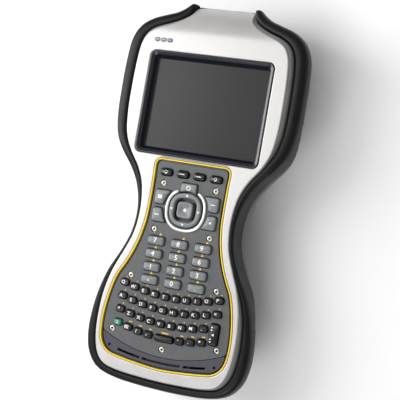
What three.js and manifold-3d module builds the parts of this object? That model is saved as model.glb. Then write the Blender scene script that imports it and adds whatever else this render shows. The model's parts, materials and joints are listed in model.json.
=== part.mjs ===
// A rugged handheld survey controller: a recessed touch screen over a screwed keypad plate, a silver faceplate,
// a rubber bumper that wraps the two lobes and the waist, and a hand strap across the back.
// Millimetres. +Z points out of the screen, +Y towards the head, +X to the right of a person reading it.
// It lies on its back: z = 0 is the plane of the two rear pads, x = 0 is its plane of symmetry.
import * as THREE from 'three';
import { mergeVertices } from 'three/addons/utils/BufferGeometryUtils.js';
import Module from 'manifold-3d';

const wasm = await Module();
wasm.setup();

// ---- Driving dimensions ----
const FACE_Z = 62; // front face of the faceplate
const BACK_Z = 14; // back of the casing between the two rear pads
const SPLIT_Z = FACE_Z - 18; // where the two casing halves meet
const GAP = 0.3; // left between pieces that touch
const SKIN = 1.5; // faceplate thickness
const WALL = 2.6; // casing wall
const OUTLINE_STEPS = 1; // straight runs between two stations of an outline
const CUT = { low: -10, high: 4 }; // heights that a cut through the front pieces runs between

// Right half of the outline from head to base, as stations: faceplate x, y, then bumper x, y.
const STATIONS = [
  [0, 138.6, 0, 139.2],
  [16.5, 138.6, 17, 139.2],
  [21.8, 137.2, 24.4, 139.4],
  [23.2, 131, 29.5, 136.6],
  [27.5, 126.2, 36, 133.2],
  [36, 121.5, 44.5, 130.2],
  [45, 118.2, 54.5, 126.6],
  [52, 114, 63, 120.5],
  [56, 107, 68.4, 110.5],
  [57.7, 95, 70.2, 95],
  [58.4, 75, 70.5, 75],
  [58, 54, 69.8, 54.5],
  [55.8, 39, 66.3, 38],
  [50.5, 27.5, 58.5, 26.5],
  [43.5, 18, 50, 16.5],
  [38, 7, 43.2, 5.5],
  [35.5, -6, 39.3, -6.5],
  [35.2, -18, 38.3, -18],
  [37, -31.5, 40.2, -32],
  [42.5, -46, 46.5, -47.5],
  [48.5, -60, 55, -62.5],
  [52.5, -76, 60.5, -79],
  [53.8, -93, 63.2, -96],
  [53.2, -107, 63, -111],
  [50, -120, 59.5, -123.5],
  [44, -127.3, 51.5, -132.8],
  [34, -130, 38, -137.3],
  [18, -131.2, 19.5, -139],
  [0, -131.7, 0, -139.4],
];

// Right half of the yellow trim's outer edge, from its top to its base.
const TRIM_STATIONS = [
  [0, 25], [20, 25], [24.9, 25], [27.1, 24.4], [28.7, 22.8], [29.3, 20.6], [29.1, 12], [29, -6], [29.5, -19],
  [32, -33], [35.5, -44], [40, -54], [44, -61.5], [47, -71], [49.5, -85], [50.3, -96], [49.5, -107.5],
  [47.6, -113], [44.5, -117], [40, -119.7], [32, -121.3], [20, -122.8], [0, -124.2],
];
const TRIM_WIDTH = 1.2;
const PLATE_INSET = 2.2; // keypad plate's edge, in from the trim's outer edge
const LEDGE_INSET = 3.4; // edge of the casing ledge that the plate is screwed to

// Above the screen the face curves back, then rolls over at the head's end.
const HEAD = { hinge: 127, blend: 11.6, slope: 1.25, end: 138.6, rollLength: 6, rollDrop: 2.8 };

const SCREEN = { x: 0, y: 64.5, width: 95, height: 74.4, corner: 4.5 };
const SCREEN_FRAME = { slope: 4.9, depth: 5.7, lip: 1.1 };
const GLASS = { width: 91, height: 70.4, top: -6, thickness: 1.5 };
const LCD = { width: 93, height: 72, top: -7.8, thickness: 5 };

const PLATE = { top: -0.6, bottom: -2.2 };
const PLATE_ARC = { y: -7.1, radius: 107.7 }; // round lower edge of the keypad plate
const KEY = { base: -3.8, top: 2, chamfer: 0.7, clearance: 0.35 };
const BOARD = { top: -5, thickness: 1.6 };

const DPAD = { y: -9.3, ringRadius: 12.6, okHalf: 6.2, eyeHalf: 6.9 };
const DPAD_TRIM = { radius: 15.6, width: 1.8, gapHalf: 6.9, bottom: -0.3, top: 0.8 };
const CARRIER = { half: 10.5, eyeHalf: 7.3, bottom: -3.8, top: -3 };
const SIDE_KEY = { outer: 24.7, arc: 17.4, upper: [-7.9, 2.8], lower: [-20.5, -10.2] };
const APP_KEY = { width: 9.5, height: 5.2, y: 15.5, columns: [-19.2, -6.4, 6.4, 19.2] };
const NUMBER_KEY = { width: 13, height: 6.6, columns: [-18.1, 0, 18.1], rows: [-34, -43.5, -53, -62.3] };
const LETTER_KEY = {
  width: 6.8, height: 4.8, pitch: 8.15, rows: [-72.4, -82.1, -91.8, -101.5], sag: 0.00375,
};
const POWER_KEY = { width: 12.4, low: 4.1, high: 9.9 };
const SPACE_KEY = { x: 0.5, width: 14.8 };
const ENTER_KEY = { x: 37, y: -91.3, width: 7.2, height: 15.5 };
const SCREWS = [
  [-20.2, 7.5], [20.2, 7.5], [-21.5, -26], [21.5, -26], [-33.3, -61.5], [33.3, -61.5],
  [-40.8, -101.8], [40.8, -101.8], [0, -109.3],
];
const SCREW = { headRadius: 2.2, shankRadius: 1, socketRadius: 1.1, headHeight: 1, length: 5, seat: -1.5 };
const SPEAKER_SLOTS = {
  centres: [-25, 0.7, 26.2], lengths: [18, 29.5, 16.5], y: -118.6, sag: 0.0027, height: 1.5,
};
const PINHOLE = { x: 41, y: -113.7, radius: 1 };

// The casing's side lies between the faceplate's edge and the bumper's: y, and share of the way across.
const CASING = [[-150, 0.2], [105, 0.2], [118, 0.26], [150, 0.26]];

// Under its widest height the body narrows like a hull down to the back, inside the faceplate's outline.
// Each row is y, how far in the back's outline lies, and the widest height under the face.
const HULL = [
  [-150, 6.5, -15], [-75, 6.5, -15], [-45, 6.5, -26], [25, 6.5, -26], [60, 3.5, -15], [150, 3.5, -15],
];
const HULL_LEVELS = [-48, -46, -42, -36, -30, -26, -20, -15]; // heights under the face
const HULL_FULLNESS = 0.85; // 1 is a straight flank, less is a rounder one
const BUMPER_SHOULDER = [[1, -9.5], [0.86, -5.2], [0.2, -1]]; // share of the side's width, and height
const CORE_BOTTOM = -31; // height under the face that the casing's straight middle reaches down to

// The bumper's edges seen from the side, as y and height under the face.
const BUMPER_LOWER_EDGE = [
  [-145, -26], [-82, -26], [-62, -22], [-45, -20], [25, -20], [42, -22], [62, -26], [122, -26], [145, -20],
];
const BUMPER_UPPER_EDGE = [
  [-145, -3.2], [-72, -3.2], [-57, -1.4], [35, -1.4], [50, -3.2], [112, -3.2], [122, -5.5], [130, -9],
  [145, -10.5],
];

const LIGHTS = { y: 109.7, columns: [-44.2, -39.2, -34.2], width: 3.5, height: 2 };
const BATTERY = { halfWidth: 24.5, low: -45, high: 50, thickness: 20, corner: 5 };
const LATCH = { y: 60, width: 18, length: 10, travel: 3, thickness: 2.6 };
const PORT = { halfWidth: 20, low: 3, high: 12, depth: 10 };
const BASE_PAD_END = -126; // flat end of the base pad, behind the port cover
const HEAD_PAD = [[-45, 94], [45, 94], [45, 112], [29, 124.5], [-29, 124.5], [-45, 112]];
const BASE_PAD = [[-42, -100], [-44, -112], [-34, BASE_PAD_END], [34, BASE_PAD_END], [44, -112], [42, -100]];
const SILO = { halfWidth: 6, low: 28, high: 96, bottom: 4.5 }; // raised cover of the stylus bore
const COVER = { thickness: 2.4, hingeZ: 1.9, top: 13.4, halfWidth: 22 };
const STYLUS = { x: -33, z: 10, radius: 3, low: 32, high: 122.5, knob: 3.6, knobEnd: 129 };
const CAMERA = { x: 20, y: 112, radius: 6.2, depth: 10 };
const STRAP_LOOP = {
  halfWidth: 24, bottom: 8, top: 11, reach: 10, slotHalfWidth: 20.5, slotNear: 3, slotFar: 7.4,
};
const STRAP = { halfWidth: 19, thickness: 3.4, endZ: 9.5, bellyZ: 3.6, low: -88.4, high: 82.4 };

// ---- Curves and outlines ----
function closedCurve(rightHalf, steps) {
  const side = rightHalf.slice(1, -1);
  // Head, left side, base, right side: counter-clockwise seen from the front.
  const loop = [rightHalf[0], ...side.map(([x, y]) => [-x, y]), rightHalf.at(-1), ...side.reverse()];
  const points = loop.map(([x, y]) => new THREE.Vector3(x, y, 0));
  const curve = new THREE.CatmullRomCurve3(points, true, 'centripetal');
  return curve.getPoints(points.length * steps).slice(0, -1).map((p) => new THREE.Vector2(p.x, p.y));
}

function offsetOutline(points, distance) {
  return points.map((point, i) => {
    const before = points.at(i - 1);
    const after = points[(i + 1) % points.length];
    const along = after.clone().sub(before).normalize();
    return new THREE.Vector2(point.x + along.y * distance, point.y - along.x * distance);
  });
}

// An inward offset for cutting and for flat pieces, without the runs that it turns back on themselves.
function insetOutline(points, distance) {
  const moved = offsetOutline(points, -distance);
  return moved.filter((point, i) => {
    const next = (i + 1) % points.length;
    const was = points[next].clone().sub(points[i]);
    const is = moved[next].clone().sub(point);
    return was.dot(is) > 0;
  });
}

const faceLine = closedCurve(STATIONS.map(([x, y]) => [x, y]), OUTLINE_STEPS);
const bumperLine = closedCurve(STATIONS.map(([, , x, y]) => [x, y]), OUTLINE_STEPS);
const trimLine = closedCurve(TRIM_STATIONS, OUTLINE_STEPS);

// An outline part of the way from the faceplate's edge (0) to the bumper's (1).
function between(share) {
  return faceLine.map((point, i) => point.clone().lerp(bumperLine[i], share));
}

// A value read off a table of rows at this y, with straight lines between the rows.
function tableAt(rows, y, column) {
  const next = rows.findIndex((row) => row[0] > y);
  const [before, after] = [rows[next - 1], rows[next]];
  return THREE.MathUtils.mapLinear(y, before[0], after[0], before[column], after[column]);
}

function casingLine(scale = 1) {
  return faceLine.map((point, i) => point.clone().lerp(bumperLine[i], scale * tableAt(CASING, point.y, 1)));
}

// The outside's outline at a height under the face, from its widest down to the back.
function hullAt(height) {
  const inward = offsetOutline(faceLine, -1).map((point, i) => point.sub(faceLine[i]));
  return faceLine.map((point, i) => {
    const back = point.clone().addScaledVector(inward[i], tableAt(HULL, point.y, 1));
    const depth = (height - HULL_LEVELS[0]) / (tableAt(HULL, point.y, 2) - HULL_LEVELS[0]);
    return back.lerp(bumperLine[i], Math.min(1, Math.max(0, depth)) ** HULL_FULLNESS);
  });
}

function roundedRect(x, y, width, height, corner, cornerSteps = 3) {
  const points = [];
  for (const [quarter, [sx, sy]] of [[1, 1], [-1, 1], [-1, -1], [1, -1]].entries()) {
    for (let step = 0; step <= cornerSteps; step++) {
      const angle = (quarter + step / cornerSteps) * (Math.PI / 2);
      points.push(new THREE.Vector2(
        x + sx * (width / 2 - corner) + corner * Math.cos(angle),
        y + sy * (height / 2 - corner) + corner * Math.sin(angle),
      ));
    }
  }
  return points;
}

// ---- Solids ----
function loft(rings) {
  const count = rings[0].points.length;
  const positions = rings.flatMap(({ points, z }) => points.flatMap((p) => [p.x, p.y, z]));
  const index = [];
  for (let level = 0; level + 1 < rings.length; level++) {
    for (let i = 0; i < count; i++) {
      const low = level * count + i;
      const lowNext = level * count + ((i + 1) % count);
      index.push(low, lowNext, lowNext + count, low, lowNext + count, low + count);
    }
  }
  const top = (rings.length - 1) * count;
  for (const [a, b, c] of THREE.ShapeUtils.triangulateShape(rings[0].points, [])) {
    index.push(c, b, a);
  }
  for (const [a, b, c] of THREE.ShapeUtils.triangulateShape(rings.at(-1).points, [])) {
    index.push(a + top, b + top, c + top);
  }
  const geometry = new THREE.BufferGeometry();
  geometry.setAttribute('position', new THREE.Float32BufferAttribute(positions, 3));
  geometry.setIndex(index);
  return solid(geometry);
}

function solid(geometry) {
  const bare = geometry.clone();
  bare.deleteAttribute('normal');
  bare.deleteAttribute('uv');
  const merged = mergeVertices(bare, 1e-4);
  return new wasm.Manifold(new wasm.Mesh({
    numProp: 3,
    vertProperties: new Float32Array(merged.attributes.position.array),
    triVerts: new Uint32Array(merged.index.array),
  }));
}

function prism(points, low, high) {
  const shape = new THREE.Shape(points);
  const geometry = new THREE.ExtrudeGeometry(shape, { depth: high - low, bevelEnabled: false });
  return solid(geometry.translate(0, 0, low));
}

// A profile in the plane of Y and Z, drawn out across the whole width or between two values of x.
function acrossX(profile, left = -80, right = 80) {
  const shape = new THREE.Shape(profile.map(([y, z]) => new THREE.Vector2(y, z)));
  const geometry = new THREE.ExtrudeGeometry(shape, { depth: right - left, bevelEnabled: false });
  const toYZ = new THREE.Matrix4().makeBasis(
    new THREE.Vector3(0, 1, 0),
    new THREE.Vector3(0, 0, 1),
    new THREE.Vector3(1, 0, 0),
  );
  return solid(geometry.applyMatrix4(toYZ).translate(left, 0, 0));
}

function block([x0, x1], [y0, y1], [z0, z1]) {
  const geometry = new THREE.BoxGeometry(x1 - x0, y1 - y0, z1 - z0);
  return solid(geometry.translate((x0 + x1) / 2, (y0 + y1) / 2, (z0 + z1) / 2));
}

function post(x, y, radius, low, high, sides = 16) {
  const geometry = new THREE.CylinderGeometry(radius, radius, high - low, sides);
  return solid(geometry.rotateX(Math.PI / 2).translate(x, y, (low + high) / 2));
}

function rodAlongY(x, z, radius, low, high, sides = 20) {
  const geometry = new THREE.CylinderGeometry(radius, radius, high - low, sides);
  return solid(geometry.translate(x, (low + high) / 2, z));
}

// Heights from the faceplate's front face are easier to read than heights from the rear pads.
function fromFace(height) {
  return FACE_Z + height;
}

function cutThrough(points) {
  return prism(points, fromFace(CUT.low), fromFace(CUT.high));
}

function cap(x, y, width, height, corner, low, high, chamfer, cornerSteps = 3) {
  const points = roundedRect(x, y, width, height, corner, cornerSteps);
  const [insetWidth, insetHeight] = [width - 2 * chamfer, height - 2 * chamfer];
  const inset = roundedRect(x, y, insetWidth, insetHeight, corner - chamfer / 2, cornerSteps);
  return loft([
    { points, z: fromFace(low) },
    { points, z: fromFace(high - chamfer) },
    { points: inset, z: fromFace(high) },
  ]);
}

// ---- The face's lean at the head ----
function headDrop(y) {
  const past = y - HEAD.hinge;
  const leaning = past < HEAD.blend ? Math.max(0, past + HEAD.blend) ** 2 / (4 * HEAD.blend) : past;
  const roll = Math.min(1, Math.max(0, (y - HEAD.end + HEAD.rollLength) / HEAD.rollLength));
  return HEAD.slope * leaning + HEAD.rollDrop * (1 - Math.sqrt(1 - roll * roll));
}

// Everything under the face, this far in from it, down to a level height.
function underHead(inward, floor) {
  const heights = [115, 119, 122.5, 126, 129, 132, 134.5, 136.5, 137.8, 138.4, HEAD.end];
  const line = heights
    .map((y) => [y - (y > 129 ? inward : 0), fromFace(-inward - headDrop(y))])
    .filter(([, z]) => z > floor + 0.2);
  const end = line.at(-1)[0];
  return acrossX([[-150, floor], [end, floor], ...line.reverse(), [-150, fromFace(-inward)]]);
}

// ---- Keypad layout ----
function letterY(x, row) {
  return LETTER_KEY.rows[row] + LETTER_KEY.sag * x * x;
}

function letterKeys() {
  const columnsOfRow = [
    [-4.5, -3.5, -2.5, -1.5, -0.5, 0.5, 1.5, 2.5, 3.5, 4.5],
    [-4.5, -3.5, -2.5, -1.5, -0.5, 0.5, 1.5, 2.5, 3.5, 4.5],
    [-4.5, -3.5, -2.5, -1.5, -0.5, 0.5, 1.5, 2.5, 3.5],
    [-3.5, -2.5, -1.5, 1.5, 2.5, 3.5],
  ];
  return columnsOfRow.flatMap((columns, row) => columns.map((column) => {
    const x = column * LETTER_KEY.pitch;
    return { x, y: letterY(x, row) };
  }));
}

function rectKeys() {
  const keys = [];
  APP_KEY.columns.forEach((x, i) => {
    keys.push({ name: `app_key_${i + 1}`, x, y: APP_KEY.y, ink: 'black', ...sizeOf(APP_KEY) });
  });
  let number = 1;
  for (const y of NUMBER_KEY.rows) {
    for (const x of NUMBER_KEY.columns) {
      keys.push({ name: `number_key_${number}`, x, y, ink: 'grey', ...sizeOf(NUMBER_KEY) });
      number += 1;
    }
  }
  const functionX = -4.5 * LETTER_KEY.pitch;
  keys.push({ name: 'space_key', ink: 'black', height: LETTER_KEY.height, y: letterY(0, 3), ...SPACE_KEY });
  keys.push({ name: 'enter_key', ink: 'black', ...ENTER_KEY });
  keys.push({
    name: 'function_key', ink: 'green', x: functionX, y: letterY(functionX, 3), ...sizeOf(LETTER_KEY),
  });
  return keys;
}

function sizeOf({ width, height }) {
  return { width, height };
}

function sideKeyShape(side, [low, high], grow, base, top) {
  const inner = side * 12;
  const outer = side * (SIDE_KEY.outer + grow);
  const xs = [Math.min(inner, outer), Math.max(inner, outer)];
  const body = block(xs, [low - grow, high + grow], [fromFace(base), fromFace(top)]);
  return body.subtract(post(0, DPAD.y, SIDE_KEY.arc - grow, fromFace(base - 1), fromFace(top + 1), 48));
}

function powerKeyShape(grow, base, top) {
  const half = POWER_KEY.width / 2 + grow;
  const body = block([-half, half], [0, POWER_KEY.high + grow], [fromFace(base), fromFace(top)]);
  const radius = POWER_KEY.low - DPAD.y - grow;
  return body.subtract(post(0, DPAD.y, radius, fromFace(base - 1), fromFace(top + 1), 48));
}

// Everything that comes up through the keypad plate, a little oversize, for cutting.
function keypadCutters(clearance) {
  const cutters = letterKeys().map(({ x, y }) => (
    cutThrough(roundedRect(x, y, LETTER_KEY.width + 2 * clearance, LETTER_KEY.height + 2 * clearance, 1.2, 1))
  ));
  for (const { x, y, width, height } of rectKeys()) {
    cutters.push(cutThrough(roundedRect(x, y, width + 2 * clearance, height + 2 * clearance, 1.6, 1)));
  }
  for (const side of [-1, 1]) {
    cutters.push(sideKeyShape(side, SIDE_KEY.upper, clearance, CUT.low, CUT.high));
    cutters.push(sideKeyShape(side, SIDE_KEY.lower, clearance, CUT.low, CUT.high));
  }
  cutters.push(powerKeyShape(clearance, CUT.low, CUT.high));
  cutters.push(post(0, DPAD.y, DPAD.ringRadius + 2 * GAP, fromFace(CUT.low), fromFace(CUT.high), 32));
  return cutters;
}

function subtractAll(body, cutters) {
  return cutters.reduce((rest, cutter) => rest.subtract(cutter), body);
}

// ---- Materials ----
const material = (color, roughness, metalness = 0) => (
  new THREE.MeshStandardMaterial({ color, roughness, metalness })
);
const SILVER = material(0xdedbd6, 0.38, 0.35);
const GRAPHITE = material(0x55585c, 0.55);
const RUBBER = material(0x1b1b1c, 0.75);
const YELLOW = material(0xf0c81e, 0.45);
const PLATE_GREY = material(0x585c60, 0.6);
const KEY_GREY = material(0x8c9496, 0.45);
const KEY_BLACK = material(0x1a1a1b, 0.4);
const KEY_GREEN = material(0x28826a, 0.4);
const STEEL = material(0xc8beaf, 0.35, 0.9);
const NAVY = material(0x23232f, 0.5);
const GLASS_DARK = material(0x3c3a3b, 0.12);
const BOARD_GREEN = material(0x1f5c3a, 0.6);
const WEBBING = material(0x202022, 0.9);
const SENSOR = material(0x101014, 0.2);

const part = new THREE.Group();

function addPiece(name, shape, look) {
  const { vertProperties, triVerts } = shape.getMesh();
  const geometry = new THREE.BufferGeometry();
  geometry.setAttribute('position', new THREE.Float32BufferAttribute(vertProperties, 3));
  geometry.setIndex([...triVerts]);
  geometry.computeVertexNormals();
  const mesh = new THREE.Mesh(geometry, look);
  mesh.name = name;
  part.add(mesh);
}

// ---- Casing ----
const windowCut = cutThrough(
  roundedRect(SCREEN.x, SCREEN.y, SCREEN.width + 2 * GAP, SCREEN.height + 2 * GAP, SCREEN.corner),
);

function lightHoles(clearance) {
  const { columns, y, width, height } = LIGHTS;
  return columns.map((x) => (
    cutThrough(roundedRect(x, y, width + 2 * clearance, height + 2 * clearance, 1 + clearance, 2))
  ));
}

function faceplate() {
  const lowest = fromFace(-headDrop(HEAD.end) - 0.5);
  const plan = prism(faceLine, lowest, fromFace(1));
  const skin = underHead(0, lowest).subtract(underHead(SKIN, fromFace(-30)));
  const keypadCut = cutThrough(offsetOutline(trimLine, GAP));
  return subtractAll(plan.intersect(skin), [windowCut, keypadCut, ...lightHoles(GAP)]);
}

// The casing's sloped side, grown by a gap where something has to clear it.
function casingSide(grow, top, bottom) {
  return loft([
    { points: offsetOutline(casingLine(), grow), z: bottom },
    { points: offsetOutline(casingLine(), grow), z: fromFace(-6) },
    { points: offsetOutline(casingLine(0.25), grow), z: top },
  ]);
}

function frontHousing() {
  const outside = casingSide(0, fromFace(-SKIN - GAP), SPLIT_Z).intersect(underHead(SKIN + GAP, SPLIT_Z - 1));
  const hollow = prism(insetOutline(faceLine, 1.5), SPLIT_Z - 1, fromFace(-4.2))
    .intersect(block([-70, 70], [-140, 126], [0, FACE_Z]))
    .intersect(underHead(4.2, SPLIT_Z - 2));
  const ledgeCut = cutThrough(insetOutline(trimLine, LEDGE_INSET));
  const trimSeat = prism(offsetOutline(trimLine, GAP), fromFace(-2.5), fromFace(CUT.high));
  return subtractAll(outside, [hollow, windowCut, ledgeCut, trimSeat, ...lightHoles(GAP)]);
}

function rearShell() {
  const flank = loft(HULL_LEVELS.map((height) => ({ points: hullAt(height), z: fromFace(height) })));
  const core = prism(casingLine(), fromFace(CORE_BOTTOM), SPLIT_Z - GAP);
  const outside = flank.intersect(sideView(BUMPER_LOWER_EDGE, BACK_Z - 1, -GAP)).add(core);
  const lowerRoom = prism(insetOutline(hullAt(BACK_Z + WALL - FACE_Z), WALL), BACK_Z + WALL, SPLIT_Z + 1);
  const upperRoom = prism(insetOutline(faceLine, WALL), fromFace(CORE_BOTTOM + 6), SPLIT_Z + 1);
  const hollow = lowerRoom.add(upperRoom).intersect(block([-70, 70], [-140, 126], [0, FACE_Z]));
  return outside.subtract(hollow);
}

function rearPad(points) {
  const centre = points.reduce((sum, p) => sum.add(p), new THREE.Vector2()).divideScalar(points.length);
  const inset = points.map((p) => p.clone().lerp(centre, 0.05));
  return loft([
    { points: inset, z: 0 },
    { points, z: 3 },
    { points, z: BACK_Z + 1.5 },
  ]);
}

function roundedPad(corners, radius, steps = 4) {
  const points = [];
  corners.forEach(([x, y], i) => {
    const corner = new THREE.Vector2(x, y);
    const towards = (other) => new THREE.Vector2(...other).sub(corner).setLength(radius).add(corner);
    const before = towards(corners.at(i - 1));
    const after = towards(corners[(i + 1) % corners.length]);
    const bend = new THREE.QuadraticBezierCurve(before, corner, after);
    points.push(...bend.getPoints(steps));
  });
  return points;
}

function batteryOutline(grow) {
  const { halfWidth, low, high, corner } = BATTERY;
  const radius = corner + Math.max(0, grow - 1);
  return roundedRect(0, (low + high) / 2, 2 * (halfWidth + grow), high - low + 2 * grow, radius);
}

function rearHousing() {
  const headPad = rearPad(roundedPad(HEAD_PAD, 7));
  const basePad = rearPad(roundedPad(BASE_PAD, 6));
  const silo = acrossX(
    [[SILO.low, BACK_Z + 1], [SILO.low + 3, SILO.bottom], [SILO.high, SILO.bottom], [SILO.high, BACK_Z + 1]],
    STYLUS.x - SILO.halfWidth,
    STYLUS.x + SILO.halfWidth,
  );
  const bayWalls = prism(batteryOutline(WALL), BACK_Z + 1, BACK_Z + BATTERY.thickness + WALL);
  const bay = prism(batteryOutline(GAP), BACK_Z - 1, BACK_Z + BATTERY.thickness + GAP);
  const latchSlot = block(
    [-LATCH.width / 2 - GAP, LATCH.width / 2 + GAP],
    [LATCH.y - LATCH.length / 2 - GAP, LATCH.y + LATCH.length / 2 + LATCH.travel + GAP],
    [BACK_Z - 1, BACK_Z + LATCH.thickness - 1],
  );
  const body = [headPad, basePad, silo, bayWalls].reduce((sum, piece) => sum.add(piece), rearShell());
  return subtractAll(body, [
    bay,
    latchSlot,
    rodAlongY(STYLUS.x, STYLUS.z, STYLUS.radius + GAP, STYLUS.low - 1, STYLUS.knobEnd + 2),
    post(CAMERA.x, CAMERA.y, CAMERA.radius + GAP, -1, CAMERA.depth + 1, 20),
    block(
      [-PORT.halfWidth, PORT.halfWidth],
      [BASE_PAD_END - 1, BASE_PAD_END + PORT.depth],
      [PORT.low, PORT.high],
    ),
  ]);
}

// Everything between an edge seen from the side and a level height.
function sideView(edge, level, shift) {
  const line = edge.map(([y, height]) => [y, fromFace(height) + shift]);
  const ends = [[line.at(-1)[0], level], [line[0][0], level]];
  const profile = [...line, ...ends];
  return acrossX(level > fromFace(0) ? profile : profile.reverse());
}

function bumper() {
  const shoulder = BUMPER_SHOULDER.map(([share, height]) => (
    { points: between(share), z: fromFace(height) }
  ));
  const flank = HULL_LEVELS.map((height) => ({ points: hullAt(height), z: fromFace(height) }));
  const outside = loft([...flank, ...shoulder]);
  const inside = casingSide(GAP, fromFace(0), fromFace(-40));
  const below = sideView(BUMPER_LOWER_EDGE, 0, 0);
  const above = sideView(BUMPER_UPPER_EDGE, FACE_Z + 5, 0);
  return subtractAll(outside, [below, above, inside, headClearance()]);
}

// The bumper is open across the head, so nothing of it stays between its two horns.
function headClearance() {
  return block([-21.5, 21.5], [100, 150], [fromFace(-40), fromFace(2)]);
}

// ---- Screen stack ----
function screenBezel() {
  const { x, y, width, height, corner } = SCREEN;
  const { slope, depth, lip } = SCREEN_FRAME;
  const frame = prism(roundedRect(x, y, width, height, corner), fromFace(-depth), fromFace(0.3));
  const inside = (inset, radius) => roundedRect(x, y, width - 2 * inset, height - 2 * inset, radius);
  const mouth = loft([
    { points: inside(slope + 0.3, 1), z: fromFace(-depth - 0.6) },
    { points: inside(lip, corner - lip), z: fromFace(0.4) },
  ]);
  return frame.subtract(mouth);
}

function slab({ width, height, top, thickness }, corner) {
  const outline = roundedRect(SCREEN.x, SCREEN.y, width, height, corner);
  return prism(outline, fromFace(top - thickness), fromFace(top));
}

// ---- Keypad ----
function yellowTrim() {
  const outer = prism(trimLine, fromFace(-2.2), fromFace(0.2));
  return outer.subtract(cutThrough(insetOutline(trimLine, TRIM_WIDTH)));
}

function screwHoles(radius) {
  return SCREWS.map(([x, y]) => post(x, y, radius, fromFace(CUT.low), fromFace(CUT.high), 8));
}

function plateDisc(radius) {
  return post(0, PLATE_ARC.y, radius, fromFace(CUT.low), fromFace(CUT.high), 64);
}

function keypadPlate() {
  const plate = prism(insetOutline(trimLine, PLATE_INSET), fromFace(PLATE.bottom), fromFace(PLATE.top));
  const seats = SCREWS.map(([x, y]) => (
    post(x, y, SCREW.headRadius + GAP + 0.1, fromFace(SCREW.seat), fromFace(CUT.high), 10)
  ));
  return subtractAll(plate.intersect(plateDisc(PLATE_ARC.radius)), [
    ...keypadCutters(KEY.clearance),
    ...screwHoles(SCREW.shankRadius + GAP),
    ...seats,
  ]);
}

function speakerGrille() {
  const plate = prism(insetOutline(trimLine, PLATE_INSET), fromFace(-2.4), fromFace(-0.8));
  const slots = SPEAKER_SLOTS.centres.map((x, i) => {
    const y = SPEAKER_SLOTS.y + SPEAKER_SLOTS.sag * x * x;
    return cutThrough(roundedRect(x, y, SPEAKER_SLOTS.lengths[i], SPEAKER_SLOTS.height, 0.7, 1));
  });
  const pinholes = [-PINHOLE.x, PINHOLE.x].map((x) => (
    post(x, PINHOLE.y, PINHOLE.radius, fromFace(CUT.low), fromFace(CUT.high), 10)
  ));
  return subtractAll(plate.subtract(plateDisc(PLATE_ARC.radius + GAP)), [...slots, ...pinholes]);
}

function dpadTrim() {
  const { radius, width, gapHalf } = DPAD_TRIM;
  const low = fromFace(DPAD_TRIM.bottom);
  const high = fromFace(DPAD_TRIM.top);
  const ring = post(0, DPAD.y, radius, low, high, 48)
    .subtract(post(0, DPAD.y, radius - width, low - 1, high + 1, 48));
  return ring.subtract(block([-gapHalf, gapHalf], [0, 12], [low - 1, high + 1]));
}

function keymat() {
  const mat = prism(insetOutline(trimLine, LEDGE_INSET + GAP), fromFace(-4.6), fromFace(-2.6))
    .intersect(plateDisc(PLATE_ARC.radius - 2))
    .intersect(block([-60, 60], [-130, -66.5], [0, 80]));
  const clearings = rectKeys().map(({ x, y, width, height }) => (
    cutThrough(roundedRect(x, y, width + 2 * KEY.clearance, height + 2 * KEY.clearance, 1.6, 1))
  ));
  const body = subtractAll(mat, [...clearings, ...screwHoles(SCREW.shankRadius + 0.6)]);
  return letterKeys().reduce((sum, { x, y }) => (
    sum.add(cap(x, y, LETTER_KEY.width, LETTER_KEY.height, 1.2, -3.6, 1.7, 0.6, 1))
  ), body);
}

function keypadBoard() {
  const low = fromFace(BOARD.top - BOARD.thickness);
  const plan = prism(insetOutline(trimLine, LEDGE_INSET + GAP), low, fromFace(BOARD.top));
  const board = plan.intersect(block([-60, 60], [-107.8, 40], [0, 80]));
  return subtractAll(board, screwHoles(SCREW.shankRadius + 0.6));
}

function dpadRing() {
  const y = DPAD.y;
  const level = (radius, height) => (
    { points: roundedRect(0, y, 2 * radius, 2 * radius, radius - 0.8, 10), z: fromFace(height) }
  );
  const { ringRadius } = DPAD;
  const ring = loft([level(ringRadius, -2.1), level(ringRadius, 0.8), level(ringRadius - 1, 1.7)]);
  return ring.subtract(cutThrough(roundedRect(0, y, 2 * DPAD.eyeHalf, 2 * DPAD.eyeHalf, 4.2, 5)));
}

// The frame under the ring that lets it rock about two crossed axes.
function dpadCarrier() {
  const square = (half, corner) => roundedRect(0, DPAD.y, 2 * half, 2 * half, corner, 4);
  const outer = prism(square(CARRIER.half, 5), fromFace(CARRIER.bottom), fromFace(CARRIER.top));
  return outer.subtract(cutThrough(square(CARRIER.eyeHalf, 4.4)));
}

function okKey() {
  return cap(0, DPAD.y, 2 * DPAD.okHalf, 2 * DPAD.okHalf, 3.8, KEY.base, KEY.top, 0.8, 5);
}

function screw(x, y) {
  const { headRadius, shankRadius, socketRadius, headHeight, length } = SCREW;
  const head = post(x, y, headRadius, fromFace(-1.2), fromFace(-1.2 + headHeight), 12);
  const shank = post(x, y, shankRadius, fromFace(-1.1 - length), fromFace(-1.1), 8);
  const socket = post(x, y, socketRadius, fromFace(-0.9), fromFace(1), 6);
  return head.add(shank).subtract(socket);
}

// ---- Inside ----
function mainBoard() {
  return prism(insetOutline(faceLine, 3.4), fromFace(-20), fromFace(-18.4))
    .intersect(block([-70, 70], [-124, 114], [0, 80]));
}

function lightPipe() {
  const x = LIGHTS.columns[1];
  const bar = block([x - 8.5, x + 8.5], [LIGHTS.y - 2.5, LIGHTS.y + 2.5], [fromFace(-8.2), fromFace(-6.6)]);
  return LIGHTS.columns.reduce((sum, column) => (
    sum.add(cap(column, LIGHTS.y, LIGHTS.width, LIGHTS.height, 0.8, -7, 0.15 - headDrop(LIGHTS.y), 0.2, 2))
  ), bar);
}

// ---- Back ----
function batteryPack() {
  return prism(batteryOutline(0), BACK_Z + GAP, BACK_Z + BATTERY.thickness);
}

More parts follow.
